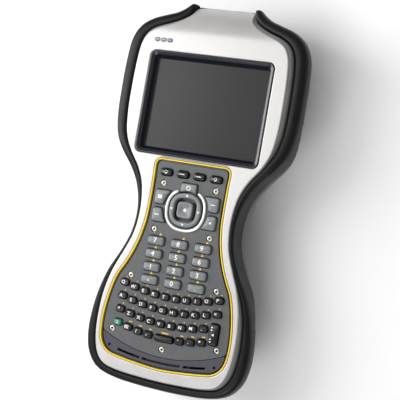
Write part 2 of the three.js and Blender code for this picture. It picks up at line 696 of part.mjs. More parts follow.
function batteryLatch() {
  const slider = block(
    [-LATCH.width / 2, LATCH.width / 2],
    [LATCH.y - LATCH.length / 2, LATCH.y + LATCH.length / 2],
    [BACK_Z - 1.2, BACK_Z + LATCH.thickness - 1 - GAP],
  );
  const thumbRidges = [-2.5, 0, 2.5].map((y) => (
    block([-6, 6], [LATCH.y + y - 0.5, LATCH.y + y + 0.5], [BACK_Z - 2, BACK_Z - 1])
  ));
  return thumbRidges.reduce((sum, ridge) => sum.add(ridge), slider);
}

// A steel loop on the wall of a rear pad; the strap goes round its outer bar.
function strapLoop(wallY, direction) {
  const { halfWidth, bottom, top, reach, slotHalfWidth, slotNear, slotFar } = STRAP_LOOP;
  const span = (near, far) => [wallY - direction * near, wallY - direction * far].sort((a, b) => a - b);
  const loop = block([-halfWidth, halfWidth], span(GAP, reach), [bottom, top]);
  const slot = block([-slotHalfWidth, slotHalfWidth], span(slotNear, slotFar), [bottom - 1, top + 1]);
  return loop.subtract(slot);
}

function handStrap() {
  const steps = 14;
  const line = [];
  for (let step = 0; step <= steps; step++) {
    const share = step / steps;
    const y = STRAP.low + (STRAP.high - STRAP.low) * share;
    const bow = Math.min(1, Math.sin(share * Math.PI) * 1.25);
    line.push([y, STRAP.endZ + (STRAP.bellyZ - STRAP.endZ) * bow]);
  }
  const lower = line.map(([y, z]) => [y, z - STRAP.thickness / 2]);
  const upper = line.map(([y, z]) => [y, z + STRAP.thickness / 2]).reverse();
  return acrossX([...lower, ...upper], -STRAP.halfWidth, STRAP.halfWidth);
}

function stylus() {
  const points = [
    [0, STYLUS.low], [0.8, STYLUS.low + 1], [STYLUS.radius, STYLUS.low + 12],
    [STYLUS.radius, STYLUS.high + 3], [STYLUS.knob, STYLUS.high + 3.6],
    [STYLUS.knob, STYLUS.knobEnd - 1], [STYLUS.knob - 1, STYLUS.knobEnd],
    [0, STYLUS.knobEnd],
  ].map(([r, y]) => new THREE.Vector2(r, y));
  return solid(new THREE.LatheGeometry(points, 16).translate(STYLUS.x, 0, STYLUS.z));
}

function cameraModule() {
  const barrel = post(CAMERA.x, CAMERA.y, CAMERA.radius, 0.5, CAMERA.depth, 20);
  return barrel.subtract(post(CAMERA.x, CAMERA.y, 3.4, 0, 2, 16));
}

// Closed, it stands against the end of the base pad; its lower edge is round about the hinge line.
function portCover() {
  const radius = COVER.thickness / 2;
  const centreY = BASE_PAD_END - GAP - radius;
  const profile = [[centreY + radius, COVER.top], [centreY - radius, COVER.top]];
  for (let step = 0; step <= 6; step++) {
    const angle = Math.PI + (step / 6) * Math.PI;
    profile.push([centreY + radius * Math.cos(angle), COVER.hingeZ + radius * Math.sin(angle)]);
  }
  return acrossX(profile, -COVER.halfWidth, COVER.halfWidth);
}

// ---- Assembly ----
addPiece('faceplate', faceplate(), SILVER);
addPiece('front_housing', frontHousing(), GRAPHITE);
addPiece('rear_housing', rearHousing(), GRAPHITE);
addPiece('bumper', bumper(), RUBBER);
addPiece('screen_bezel', screenBezel(), NAVY);
addPiece('touch_glass', slab(GLASS, 2), GLASS_DARK);
addPiece('lcd_module', slab(LCD, 2), SENSOR);
addPiece('yellow_trim', yellowTrim(), YELLOW);
addPiece('keypad_plate', keypadPlate(), PLATE_GREY);
addPiece('speaker_grille', speakerGrille(), NAVY);
addPiece('dpad_trim', dpadTrim(), STEEL);
addPiece('keymat', keymat(), KEY_BLACK);
addPiece('keypad_board', keypadBoard(), BOARD_GREEN);
addPiece('main_board', mainBoard(), BOARD_GREEN);
addPiece('speaker', block([-22, 22], [-122, -111], [fromFace(-11), fromFace(-4.6)]), SENSOR);
addPiece('light_pipe', lightPipe(), GLASS_DARK);
addPiece('battery_pack', batteryPack(), GRAPHITE);
addPiece('battery_latch', batteryLatch(), RUBBER);
addPiece('strap_anchor_top', strapLoop(94, 1), STEEL);
addPiece('strap_anchor_bottom', strapLoop(-100, -1), STEEL);
addPiece('hand_strap', handStrap(), WEBBING);
addPiece('stylus', stylus(), RUBBER);
addPiece('camera_module', cameraModule(), SENSOR);
addPiece('port_cover', portCover(), RUBBER);
addPiece('dpad_carrier', dpadCarrier(), KEY_BLACK);
addPiece('dpad_ring', dpadRing(), KEY_GREY);
addPiece('ok_key', okKey(), KEY_GREY);
addPiece('power_key', powerKeyShape(0, KEY.base, KEY.top), KEY_GREY);

const KEY_LOOKS = { black: KEY_BLACK, grey: KEY_GREY, green: KEY_GREEN };
for (const { name, x, y, width, height, ink } of rectKeys()) {
  addPiece(name, cap(x, y, width, height, 1.5, KEY.base, KEY.top, KEY.chamfer), KEY_LOOKS[ink]);
}

const sideKeys = [[-1, SIDE_KEY.upper], [-1, SIDE_KEY.lower], [1, SIDE_KEY.upper], [1, SIDE_KEY.lower]];
sideKeys.forEach(([side, span], i) => {
  addPiece(`side_key_${i + 1}`, sideKeyShape(side, span, 0, KEY.base, KEY.top), KEY_GREY);
});

SCREWS.forEach(([x, y], i) => addPiece(`plate_screw_${i + 1}`, screw(x, y), STEEL));

export default part;
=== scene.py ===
"""The looks of a rugged handheld survey controller: screen, screwed keypad, rubber bumper, hand strap.

Lengths in this file are millimetres until mesh_of() turns them into metres. The frame is the CAD model's: +Z
out of the screen, +Y towards the head, the two rear pads on z = 0. Heights called h are measured up from the
front face.
"""

import json
import math

import bmesh
import bpy
import numpy as np
from mathutils import Matrix, Vector, geometry
from mathutils.bvhtree import BVHTree

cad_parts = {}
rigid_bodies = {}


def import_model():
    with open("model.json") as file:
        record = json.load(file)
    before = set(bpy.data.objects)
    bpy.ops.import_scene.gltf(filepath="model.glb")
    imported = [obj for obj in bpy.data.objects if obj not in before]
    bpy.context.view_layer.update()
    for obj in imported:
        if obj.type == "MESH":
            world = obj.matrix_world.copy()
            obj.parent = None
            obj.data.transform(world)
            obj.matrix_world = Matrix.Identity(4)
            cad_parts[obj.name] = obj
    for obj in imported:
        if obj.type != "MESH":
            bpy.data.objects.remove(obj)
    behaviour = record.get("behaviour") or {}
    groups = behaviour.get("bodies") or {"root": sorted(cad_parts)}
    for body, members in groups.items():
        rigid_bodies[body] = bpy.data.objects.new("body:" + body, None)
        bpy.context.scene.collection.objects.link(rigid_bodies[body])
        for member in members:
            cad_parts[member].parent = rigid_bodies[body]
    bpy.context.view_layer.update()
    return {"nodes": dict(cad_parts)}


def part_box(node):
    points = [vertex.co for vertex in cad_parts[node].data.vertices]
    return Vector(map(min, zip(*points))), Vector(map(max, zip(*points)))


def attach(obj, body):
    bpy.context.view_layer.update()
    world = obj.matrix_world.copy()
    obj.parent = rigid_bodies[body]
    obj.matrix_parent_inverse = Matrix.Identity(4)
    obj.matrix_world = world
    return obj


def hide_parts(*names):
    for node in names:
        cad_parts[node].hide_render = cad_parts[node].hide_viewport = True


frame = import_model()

MM = 0.001
FACE = round(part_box("yellow_trim")[1].z / MM - 0.2, 3)  # height of the front face above the rear pads
BACK = round(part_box("battery_pack")[0].z / MM - 0.3, 3)  # the casing's back between the pads
SPLIT = FACE - 18  # where the two casing halves meet

# Right half of the outline from head to base, as stations: faceplate x, y, then bumper x, y.
STATIONS = [
    (0, 138.6, 0, 139.2), (16.5, 138.6, 17, 139.4), (21.8, 137.2, 25.6, 140.6), (23.2, 131, 29.9, 137.2),
    (27.5, 126.2, 36, 133.2), (36, 121.5, 44.5, 130.2), (45, 118.2, 54.5, 126.6), (52, 114, 63, 120.5),
    (56, 107, 68.4, 110.5), (57.7, 95, 70.2, 95), (58.4, 75, 70.5, 75), (58, 54, 69.8, 54.5),
    (55.8, 39, 66.3, 38), (50.5, 27.5, 58.5, 26.5), (43.5, 18, 50, 16.5), (38, 7, 43.2, 5.5),
    (35.5, -6, 39.3, -6.5), (35.2, -18, 38.3, -18), (37, -31.5, 40.2, -32), (42.5, -46, 46.5, -47.5),
    (48.5, -60, 55, -62.5), (52.5, -76, 60.5, -79), (53.8, -93, 63.2, -96), (53.2, -107, 63, -111),
    (50, -120, 59.5, -123.5), (44, -127.3, 51.5, -132.8), (34, -130, 38, -137.3), (18, -131.2, 19.5, -139),
    (0, -131.7, 0, -139.4),
]
# Right half of the yellow trim's outer edge.
TRIM_STATIONS = [
    (0, 25), (20, 25), (24.9, 25), (27.1, 24.4), (28.7, 22.8), (29.3, 20.6), (29.1, 12), (29, -6),
    (29.5, -19), (32, -33), (35.5, -44), (40, -54), (44, -61.5), (47, -71), (49.5, -85), (50.3, -96),
    (49.5, -107.5), (47.6, -113), (44.5, -117), (40, -119.7), (32, -121.3), (20, -122.8), (0, -124.2),
]
HEAD = {"hinge": 127, "blend": 11.6, "slope": 1.25, "end": 138.6, "roll_length": 6, "roll_drop": 2.8}
PLATE_ARC = {"y": -7.1, "radius": 107.7}
DPAD_Y = -9.3
DPAD = {"ring": 12.3, "ring_hole": 8.3, "ok": 6.2}
SILVER_RING = {"radius": 14.5, "width": 2.2, "height": 1.6, "gap_angle": 29, "squareness": 2.35}
SIDE_KEY = {"outer": 24.7, "arc": 17.4, "upper": (-7.9, 2.8), "lower": (-20.5, -10.2)}
POWER_KEY = {"half": 6.2, "high": 9.9, "arc": 13.3}
KEY_BASE = -3.8  # height of the key caps' lower ends
KEY_GAP = 0.3  # between a key and the edge of its hole
PLATE_INSET = 2.3  # keypad plate's edge, in from the trim's outer edge
LIGHT = {"width": 3.0, "height": 1.7, "corner": 0.8, "pitch": 5}
LETTER = {"width": 6.8, "height": 4.8, "pitch": 8.15, "rows": (-72.4, -82.1, -91.8, -101.5), "sag": 0.00375}
SCREEN = {"y": 64.5, "width": 95, "height": 74.4, "corner": 4.5}
STYLUS_Z = 10  # the stylus's axis above the rear pads
STRAP_HALF = 12.5  # half the webbing's width
STRAP_Z = 9.5  # the strap's centre where it meets its loops
STRAP_BOWED_Z = 3.7  # the strap's centre halfway


# ---- Outlines ----
def closed_curve(right_half, steps):
    """A centripetal Catmull-Rom curve through the stations and their mirror images, counter-clockwise."""
    inner = list(right_half[1:-1])
    loop = [right_half[0], *[(-x, y) for x, y in inner], right_half[-1], *inner[::-1]]
    p = np.array(loop, float)
    count = len(p)
    points = []
    for i in range(count):
        p0, p1, p2, p3 = (p[(i + k) % count] for k in (-1, 0, 1, 2))
        d0, d1, d2 = (max(np.linalg.norm(b - a), 1e-6) ** 0.5 for a, b in ((p0, p1), (p1, p2), (p2, p3)))
        t1 = ((p1 - p0) / d0 - (p2 - p0) / (d0 + d1) + (p2 - p1) / d1) * d1
        t2 = ((p2 - p1) / d1 - (p3 - p1) / (d1 + d2) + (p3 - p2) / d2) * d1
        for t in np.arange(steps) / steps:
            points.append(
                (2 * t**3 - 3 * t**2 + 1) * p1
                + (t**3 - 2 * t**2 + t) * t1
                + (3 * t**2 - 2 * t**3) * p2
                + (t**3 - t**2) * t2
            )
    return np.array(points)


def soften(loop, reach):
    """Rounds a closed loop by averaging each point with its neighbours."""
    if reach <= 0:
        return loop
    offsets = np.arange(-int(3 * reach), int(3 * reach) + 1)
    weights = np.exp(-0.5 * (offsets / reach) ** 2)
    weights /= weights.sum()
    return sum(w * np.roll(loop, -k, axis=0) for k, w in zip(offsets, weights))


def resample(loop, spacing):
    """The same closed loop with evenly spaced points."""
    closed = np.vstack([loop, loop[:1]])
    length = np.concatenate([[0], np.cumsum(np.linalg.norm(np.diff(closed, axis=0), axis=1))])
    count = max(12, int(round(length[-1] / spacing)))
    at = np.linspace(0, length[-1], count, endpoint=False)
    return np.column_stack([np.interp(at, length, closed[:, k]) for k in (0, 1)])


def rounded(points, radius, spacing=0.3):
    """A polygon with softly rounded corners."""
    return soften(resample(np.array(points, float), spacing), radius * 0.6 / spacing)


def outward(loop):
    along = np.roll(loop, -1, axis=0) - np.roll(loop, 1, axis=0)
    along /= np.maximum(np.linalg.norm(along, axis=1, keepdims=True), 1e-9)
    return np.column_stack([along[:, 1], -along[:, 0]])


def grown(loop, distance):
    return loop + outward(loop) * distance


def rectangle(x, y, width, height, corner, steps=8):
    points = []
    for quarter, (sx, sy) in enumerate([(1, 1), (-1, 1), (-1, -1), (1, -1)]):
        for step in range(steps + 1):
            angle = (quarter + step / steps) * math.pi / 2
            points.append((
                x + sx * (width / 2 - corner) + corner * math.cos(angle),
                y + sy * (height / 2 - corner) + corner * math.sin(angle),
            ))
    return np.array(points)


def full_turn(count):
    """Evenly spaced angles, in radians, once round."""
    return np.linspace(0, 2 * math.pi, count, endpoint=False)


def circle(x, y, radius, count=32):
    angle = full_turn(count)
    return np.column_stack([x + radius * np.cos(angle), y + radius * np.sin(angle)])


def inside(points, loop):
    """Which points lie inside a loop."""
    x, y = points[:, 0:1], points[:, 1:2]
    x1, y1 = loop[:, 0], loop[:, 1]
    x2, y2 = np.roll(x1, -1), np.roll(y1, -1)
    spans = (y1 > y) != (y2 > y)
    crossing = x1 + (y - y1) * (x2 - x1) / np.where(y2 == y1, 1e-12, y2 - y1)
    return (np.sum(spans & (x < crossing), axis=1) % 2) == 1


STEPS = 8
FACE_LINE = soften(closed_curve([s[:2] for s in STATIONS], STEPS), 1.6)
BUMPER_LINE = soften(closed_curve([s[2:] for s in STATIONS], STEPS), 1.6)
TRIM_LINE = soften(resample(closed_curve(TRIM_STATIONS, STEPS), 0.8), 1)


def head_drop(y):
    """How far the face leans back below the flat at this y."""
    past = np.asarray(y, float) - HEAD["hinge"]
    blend = HEAD["blend"]
    leaning = np.where(past < blend, np.maximum(0, past + blend) ** 2 / (4 * blend), past)
    roll = np.clip((np.asarray(y) - HEAD["end"] + HEAD["roll_length"]) / HEAD["roll_length"], 0, 1)
    return HEAD["slope"] * leaning + HEAD["roll_drop"] * (1 - np.sqrt(1 - roll**2))


def between(share):
    """The outline at a share of the way from the faceplate's edge to the bumper's."""
    share = np.broadcast_to(share, (len(FACE_LINE),))[:, None]
    return FACE_LINE + (BUMPER_LINE - FACE_LINE) * share


def along_y(table):
    """A smooth value for each outline point from a short table of y and value."""
    ys, values = zip(*sorted(table))
    return soften(np.interp(FACE_LINE[:, 1], ys, values), 4)


# Under its widest height the body narrows like a hull; y, back outline's inset and widest height.
HULL_INSET = along_y([(-150, 6.5), (-75, 6.5), (25, 6.5), (60, 3.5), (150, 3.5)])
HULL_TOP = along_y([(-150, -15), (-75, -15), (-45, -26), (25, -26), (60, -15), (150, -15)])
HULL_BOTTOM = BACK - FACE


def hull_at(height):
    """The body's outline at a height, or at one height per point, under its widest."""
    back = soften(FACE_LINE - outward(FACE_LINE) * HULL_INSET[:, None], 6)
    depth = np.clip((height - HULL_BOTTOM) / (HULL_TOP - HULL_BOTTOM), 0, 1)
    return back + (BUMPER_LINE - back) * (depth**0.85)[:, None]


WAIST = along_y([(-150, 0), (-72, 0), (-52, 1), (30, 1), (48, 0), (150, 0)])
CASING_WIDTH = along_y([(-150, 0.18), (105, 0.18), (118, 0.24), (150, 0.24)])
CASING_SHARE = CASING_WIDTH * (1 - 0.85 * WAIST)  # grey casing between faceplate and rubber
BUMPER_LOW = along_y([(-150, -26), (-82, -26), (-62, -22), (-45, -20), (25, -20), (42, -22), (62, -26),
                      (118, -26), (130, -24), (140, -18)])
BUMPER_CREST = along_y([(-150, -4.2), (-74, -4), (-55, -0.9), (33, -0.9), (50, -4), (110, -4.4), (120, -5.6),
                        (130, -7.5), (140, -8.5)])


# ---- Shapes: a list of points and a list of faces ----
def joined(*shapes):
    points, faces = [], []
    for some_points, some_faces in shapes:
        base = len(points)
        points.extend(map(tuple, some_points))
        faces.extend(tuple(i + base for i in face) for face in some_faces)
    return points, faces


def level_ring(loop, z):
    """A loop at one z, or at one z per point."""
    return np.column_stack([loop, np.broadcast_to(z, (len(loop),))])


def ring(loop, h):
    return level_ring(loop, FACE + h)


def lofted(rings, closed=False):
    """A skin over rings with the same number of points, capped unless the last joins the first."""
    count = len(rings[0])
    faces = []
    for low in range(len(rings) - (0 if closed else 1)):
        a, b = low * count, ((low + 1) % len(rings)) * count
        for i in range(count):
            j = (i + 1) % count
            faces.append((a + i, a + j, b + j, b + i))
    if not closed:
        last = (len(rings) - 1) * count
        faces.append(tuple(reversed(range(count))))
        faces.append(tuple(range(last, last + count)))
    return np.vstack(rings), faces


def fill(loops, extra):
    """Points and triangles between an outer loop and its holes, with extra points inside."""
    coords = [Vector(p) for loop in loops for p in loop] + [Vector(p) for p in extra]
    edges, start = [], 0
    for loop in loops:
        edges += [(start + i, start + (i + 1) % len(loop)) for i in range(len(loop))]
        start += len(loop)
    points, _, faces, _, _, _ = geometry.delaunay_2d_cdt(coords, edges, [], 1, 1e-6)
    flat = np.array([p[:] for p in points])
    middles = np.array([flat[list(face)].mean(axis=0) for face in faces])
    keep = inside(middles, loops[0])
    for hole in loops[1:]:
        keep &= ~inside(middles, hole)
    return flat, [tuple(face) for face, kept in zip(faces, keep) if kept]


def quarter_round(edge, count):
    """A rounded edge as pairs of inset and drop, from the side to the top."""
    angles = np.linspace(0, math.pi / 2, count)
    return [(edge * (1 - math.cos(angle)), edge * (1 - math.sin(angle))) for angle in angles]


def plate(outer, holes, top, bottom, edge=0.35, margin=0.35, lean=False, grid=None):
    """A flat or leaning plate with holes, its upper edges rounded and a narrow flat margin inside them."""
    def height(loop, h):
        return ring(loop, h - (head_drop(loop[:, 1]) if lean else 0))

    extra = np.zeros((0, 2))
    margin += edge
    inner_outer = grown(outer, -margin)
    inner_holes = [grown(hole, margin) for hole in holes]
    if grid:
        low, high, step = grid
        xs, ys = np.meshgrid(np.arange(-60, 60, step), np.arange(low, high, step))
        extra = np.column_stack([xs.ravel(), ys.ravel()])
        keep = inside(extra, grown(inner_outer, -step * 0.4))
        for hole in inner_holes:
            keep &= ~inside(extra, grown(hole, step * 0.4))
        extra = extra[keep]
    shapes = []
    levels = [*quarter_round(edge, 4), (margin, 0)]
    for sign, loop in [(1, outer), *[(-1, hole) for hole in holes]]:
        rings = [height(loop, bottom)]
        rings += [height(grown(loop, -sign * inset), top - drop) for inset, drop in levels]
        points, skin = lofted(rings)
        shapes.append((points, skin[:-2]))
    flat, faces = fill([inner_outer, *inner_holes], extra)
    shapes.append((height(flat, top), faces))
    flat, faces = fill([outer, *holes], extra)
    shapes.append((height(flat, bottom), [face[::-1] for face in faces]))
    return joined(*shapes)


def cap(loop, base, top, bevel=0.9, crown=0.25, draft=0.25, dish=0.0):
    """A key cap: a drafted side, a round upper edge and a crowned or dished top."""
    rings = [ring(loop, base)]
    rings += [ring(grown(loop, -draft - inset), top - drop) for inset, drop in quarter_round(bevel, 6)]
    rim = grown(loop, -draft - bevel)
    centre = rim.mean(axis=0)
    for share in (0.9, 0.78, 0.64, 0.5, 0.36, 0.22, 0.1):
        bulge = crown * (1 - share**2) - dish * (1 - share**2) ** 2
        shrunk = centre + (rim - centre) * share
        rings.append(ring(soften(shrunk, (1 - share) * len(loop) * 0.09), top + bulge))
    return lofted(rings)


def bead(outer, inner, base, top, edge=0.5):
    """A rounded closed ring between two loops with the same number of points."""
    edges = quarter_round(edge, 5)
    rings = [ring(outer, base)]
    rings += [ring(grown(outer, -inset), top - drop) for inset, drop in edges]
    rings += [ring(grown(inner, inset), top - drop) for inset, drop in reversed(edges)]
    return lofted([*rings, ring(inner, base)], closed=True)


def turned(profile, centre, base, count=32):
    """A body turned about the vertical line at centre, from pairs of radius and height over base."""
    return lofted([level_ring(circle(*centre, radius, count), base + height) for radius, height in profile])


def turned_along_y(profile, x, z, count=32):
    """A body turned about a line along Y, from pairs of radius and y."""
    angle = full_turn(count)
    rings = []
    for radius, y in profile:
        across, up = radius * np.cos(angle), radius * np.sin(angle)
        rings.append(np.column_stack([x + across, np.full(count, y), z - up]))
    return lofted(rings)


def box_shape(low, high, edge=0.4):
    """A block with rounded edges, from its two far corners."""
    middle = (np.array(low) + np.array(high)) / 2
    size = np.array(high) - np.array(low)
    bm = bmesh.new()
    bmesh.ops.create_cube(bm, size=1)
    bmesh.ops.scale(bm, vec=Vector(size), verts=bm.verts)
    bmesh.ops.bevel(bm, geom=bm.edges[:], offset=min(edge, size.min() * 0.45), segments=3, profile=0.5,
                    affect="EDGES")
    bm.verts.ensure_lookup_table()
    points = [tuple(np.array(v.co) + middle) for v in bm.verts]
    faces = [tuple(v.index for v in face.verts) for face in bm.faces]
    bm.free()
    return points, faces


# ---- Making pieces ----
def mesh_of(name, shape, sharp=40):
    """A mesh in metres from a shape in millimetres, smooth but for edges sharper than an angle."""
    points, faces = shape
    mesh = bpy.data.meshes.new(name)
    metres = [tuple(float(c) * MM for c in p) for p in points]
    mesh.from_pydata(metres, [], [list(map(int, face)) for face in faces])
    bm = bmesh.new()
    bm.from_mesh(mesh)
    bmesh.ops.remove_doubles(bm, verts=bm.verts, dist=1e-7)
    bmesh.ops.dissolve_degenerate(bm, edges=bm.edges, dist=1e-7)
    bmesh.ops.recalc_face_normals(bm, faces=bm.faces)
    bm.to_mesh(mesh)
    bm.free()
    mesh.shade_smooth()
    mesh.set_sharp_from_angle(angle=math.radians(sharp))
    return mesh


def added(name, data):
    """A new object in the scene."""
    thing = bpy.data.objects.new(name, data)
    bpy.context.scene.collection.objects.link(thing)
    return thing


def applied(thing):
    """A mesh of an object with its modifiers applied."""
    bpy.context.view_layer.update()
    return bpy.data.meshes.new_from_object(thing.evaluated_get(bpy.context.evaluated_depsgraph_get()))


def piece(name, shape, look, body="casing", instead_of=(), sharp=40):
    """Puts a shape or mesh in the scene, riding on a body and standing in for one of its CAD nodes."""
    mesh = mesh_of(name, shape, sharp) if isinstance(shape, tuple) else shape
    thing = added(name, mesh)
    mesh.materials.clear()
    mesh.materials.append(look)
    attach(thing, body)
    if instead_of:
        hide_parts(*([instead_of] if isinstance(instead_of, str) else instead_of))
    return thing


def carved(name, base, additions=(), cuts=(), bevel=0.0):
    """A mesh made by joining and cutting closed shapes."""
    thing = added(name, mesh_of(name, base))
    helpers = []
    for shapes, operation in ((additions, "UNION"), (cuts, "DIFFERENCE")):
        for shape in shapes:
            helpers.append(added("helper", mesh_of("helper", shape)))
            modifier = thing.modifiers.new("carve", "BOOLEAN")
            modifier.operation = operation
            modifier.solver = "MANIFOLD"
            modifier.object = helpers[-1]
    if bevel:
        rounding = thing.modifiers.new("rounding", "BEVEL")
        rounding.width = bevel * MM
        rounding.segments = 2
        rounding.limit_method = "ANGLE"
        rounding.angle_limit = math.radians(50)
    result = applied(thing)
    for gone in [thing, *helpers]:
        bpy.data.objects.remove(gone)
    result.name = name
    result.shade_smooth()
    result.set_sharp_from_angle(angle=math.radians(32))
    return result


def centre_of(node):
    low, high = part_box(node)
    return (low.x + high.x) / 2 / MM, (low.y + high.y) / 2 / MM


def outline_of(node, corner, gap=0.0, steps=8):
    """A CAD node seen from above, as a rectangle grown by a gap."""
    low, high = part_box(node)
    width, height = (high.x - low.x) / MM, (high.y - low.y) / MM
    return rectangle(*centre_of(node), width + 2 * gap, height + 2 * gap, corner, steps)


# ---- Materials ----
def set_inputs(node, values):
    for name, value in values.items():
        node.inputs[name].default_value = value


def material(
    name, color, rough, metal=0.0, grain=0.35, tint=0.12, bump=0.15, coat=0.0, specular=0.5, blotch=12.0,
):
    """A moulded or painted surface with a fine grain and a slow drift in tone, their sizes in millimetres."""
    made = bpy.data.materials.new(name)
    made.use_nodes = True
    nodes, links = made.node_tree.nodes, made.node_tree.links
    shader = nodes["Principled BSDF"]
    set_inputs(shader, {"Metallic": metal, "Coat Weight": coat, "Coat Roughness": 0.12,
                        "Specular IOR Level": specular})
    place = nodes.new("ShaderNodeTexCoord")

    def noise(size, detail):
        texture = nodes.new("ShaderNodeTexNoise")
        set_inputs(texture, {"Scale": 1000.0 / size, "Detail": detail})
        links.new(place.outputs["Object"], texture.inputs["Vector"])
        return texture

    def ranged(source, low, high):
        spread = nodes.new("ShaderNodeMapRange")
        set_inputs(spread, {"From Min": 0.3, "From Max": 0.7, "To Min": low, "To Max": high})
        links.new(source.outputs["Fac"], spread.inputs["Value"])
        return spread.outputs[0]

    fine = noise(grain, 3)
    slow = noise(blotch, 2)
    product = nodes.new("ShaderNodeMath")
    product.operation = "MULTIPLY"
    for socket, source, share in ((0, fine, tint), (1, slow, tint * 0.5)):
        links.new(ranged(source, 1 - share, 1 + share), product.inputs[socket])
    colour = nodes.new("ShaderNodeVectorMath")
    colour.operation = "SCALE"
    colour.inputs[0].default_value = color
    links.new(product.outputs[0], colour.inputs["Scale"])
    links.new(colour.outputs[0], shader.inputs["Base Color"])
    links.new(ranged(slow, rough * 0.88, rough * 1.12), shader.inputs["Roughness"])
    relief = nodes.new("ShaderNodeBump")
    set_inputs(relief, {"Strength": bump, "Distance": grain * MM * 0.25})
    links.new(fine.outputs["Fac"], relief.inputs["Height"])
    links.new(relief.outputs["Normal"], shader.inputs["Normal"])
    return made


def webbing(name, color, rib=1.1):
    """Woven strap: ribs across it, crossed by fine threads."""
    made = material(name, color, 0.85, grain=0.25, tint=0.35, bump=0.5, specular=0.2)
    nodes, links = made.node_tree.nodes, made.node_tree.links
    wave = nodes.new("ShaderNodeTexWave")
    wave.bands_direction = "Y"
    set_inputs(wave, {"Scale": 1000.0 / rib / math.tau * math.pi / 10, "Distortion": 0.6})
    place = next(n for n in nodes if n.type == "TEX_COORD")
    links.new(place.outputs["Object"], wave.inputs["Vector"])
    ribs = nodes.new("ShaderNodeBump")
    set_inputs(ribs, {"Strength": 0.8, "Distance": 0.3 * MM})
    links.new(wave.outputs["Fac"], ribs.inputs["Height"])
    fine = next(n for n in nodes if n.type == "BUMP" and n != ribs)
    links.new(fine.outputs["Normal"], ribs.inputs["Normal"])
    links.new(ribs.outputs["Normal"], nodes["Principled BSDF"].inputs["Normal"])
    return made


SILVER = material("silver_paint", (0.5, 0.488, 0.477), 0.36, metal=0.3, grain=0.25, tint=0.06, bump=0.12)
GRAPHITE = material("graphite_plastic", (0.26, 0.26, 0.255), 0.42, grain=0.3, bump=0.3)
REAR_GREY = material("rear_grey_plastic", (0.13, 0.13, 0.13), 0.5, grain=0.3, bump=0.3)
RUBBER = material("black_rubber", (0.006, 0.006, 0.0065), 0.38, grain=0.4, tint=0.2, bump=0.2, specular=0.2)
YELLOW = material("yellow_plastic", (0.83, 0.59, 0.02), 0.4, grain=0.5, tint=0.04, bump=0.05)
PLATE = material("plate_plastic", (0.07, 0.072, 0.076), 0.48, grain=0.4, tint=0.22, bump=0.3)
KEY_GREY = material("grey_key_plastic", (0.155, 0.169, 0.171), 0.3, grain=0.3, tint=0.06, bump=0.08)
KEY_BLACK = material("black_key_plastic", (0.006, 0.006, 0.007), 0.26, grain=0.3, tint=0.1, bump=0.06)
KEY_GREEN = material("green_key_plastic", (0.015, 0.2, 0.12), 0.3, grain=0.3, tint=0.08, bump=0.06)
STEEL = material("machined_steel", (0.5, 0.46, 0.4), 0.38, metal=0.9, grain=0.15, tint=0.08, bump=0.12)
RING_SILVER = material("silver_ring_paint", (0.75, 0.74, 0.72), 0.25, metal=0.35, tint=0.03, bump=0.04)
NAVY = material("blue_black_plastic", (0.01, 0.01, 0.018), 0.26, grain=0.3, tint=0.12, bump=0.12)
FRAME_NAVY = material("screen_frame_plastic", (0.007, 0.007, 0.014), 0.2, bump=0.06, coat=0.5, specular=0.4)
CHIN = material("chin_plastic", (0.034, 0.032, 0.047), 0.5, grain=0.3, tint=0.2, bump=0.25)
GLASS = material(
    "screen_glass", (0.008, 0.0076, 0.0076), 0.25, grain=2.0, tint=0.03, bump=0.0, specular=0.22, blotch=500
)
BOARD = material("circuit_board", (0.01, 0.09, 0.035), 0.45, grain=0.8, tint=0.3, bump=0.2)
WHITE_INK = material("white_ink", (0.8, 0.8, 0.78), 0.5, grain=0.2, tint=0.05, bump=0.05)
YELLOW_INK = material("yellow_ink", (0.75, 0.48, 0.02), 0.5, grain=0.2, tint=0.08, bump=0.05)
LIGHT_CLEAR = material("clear_light", (0.35, 0.34, 0.34), 0.15, grain=0.6, tint=0.1, bump=0.02, coat=0.5)
LIGHT_BLUE = material("blue_light", (0.22, 0.24, 0.62), 0.15, grain=0.6, tint=0.1, bump=0.02, coat=0.5)
BATTERY_GREY = material("battery_plastic", (0.05, 0.052, 0.056), 0.5, bump=0.35)
LENS = material("lens_glass", (0.006, 0.006, 0.014), 0.06, grain=1.5, tint=0.1, bump=0.0, coat=1.0)
WEBBING = webbing("strap_webbing", (0.018, 0.018, 0.02))
THREAD = material("strap_thread", (0.09, 0.09, 0.095), 0.8, grain=0.2, tint=0.2, bump=0.4)


# ---- Casing ----
def light_windows(gap):
    x, y = centre_of("light_pipe")
    width, height, corner, pitch = LIGHT.values()
    return [
        rectangle(x + step * pitch, y, width + 2 * gap, height + 2 * gap, corner + gap) for step in (-1, 0, 1)
    ]


def faceplate():
    window = rectangle(0, SCREEN["y"], SCREEN["width"] + 0.6, SCREEN["height"] + 0.6, SCREEN["corner"])
    holes = [window, grown(TRIM_LINE, 0.25), *light_windows(0.25)]
    shape = plate(FACE_LINE, holes, 0, -1.5, edge=0.7, lean=True, grid=(100, 139, 2.2))
    piece("faceplate_skin", shape, SILVER, instead_of="faceplate", sharp=50)


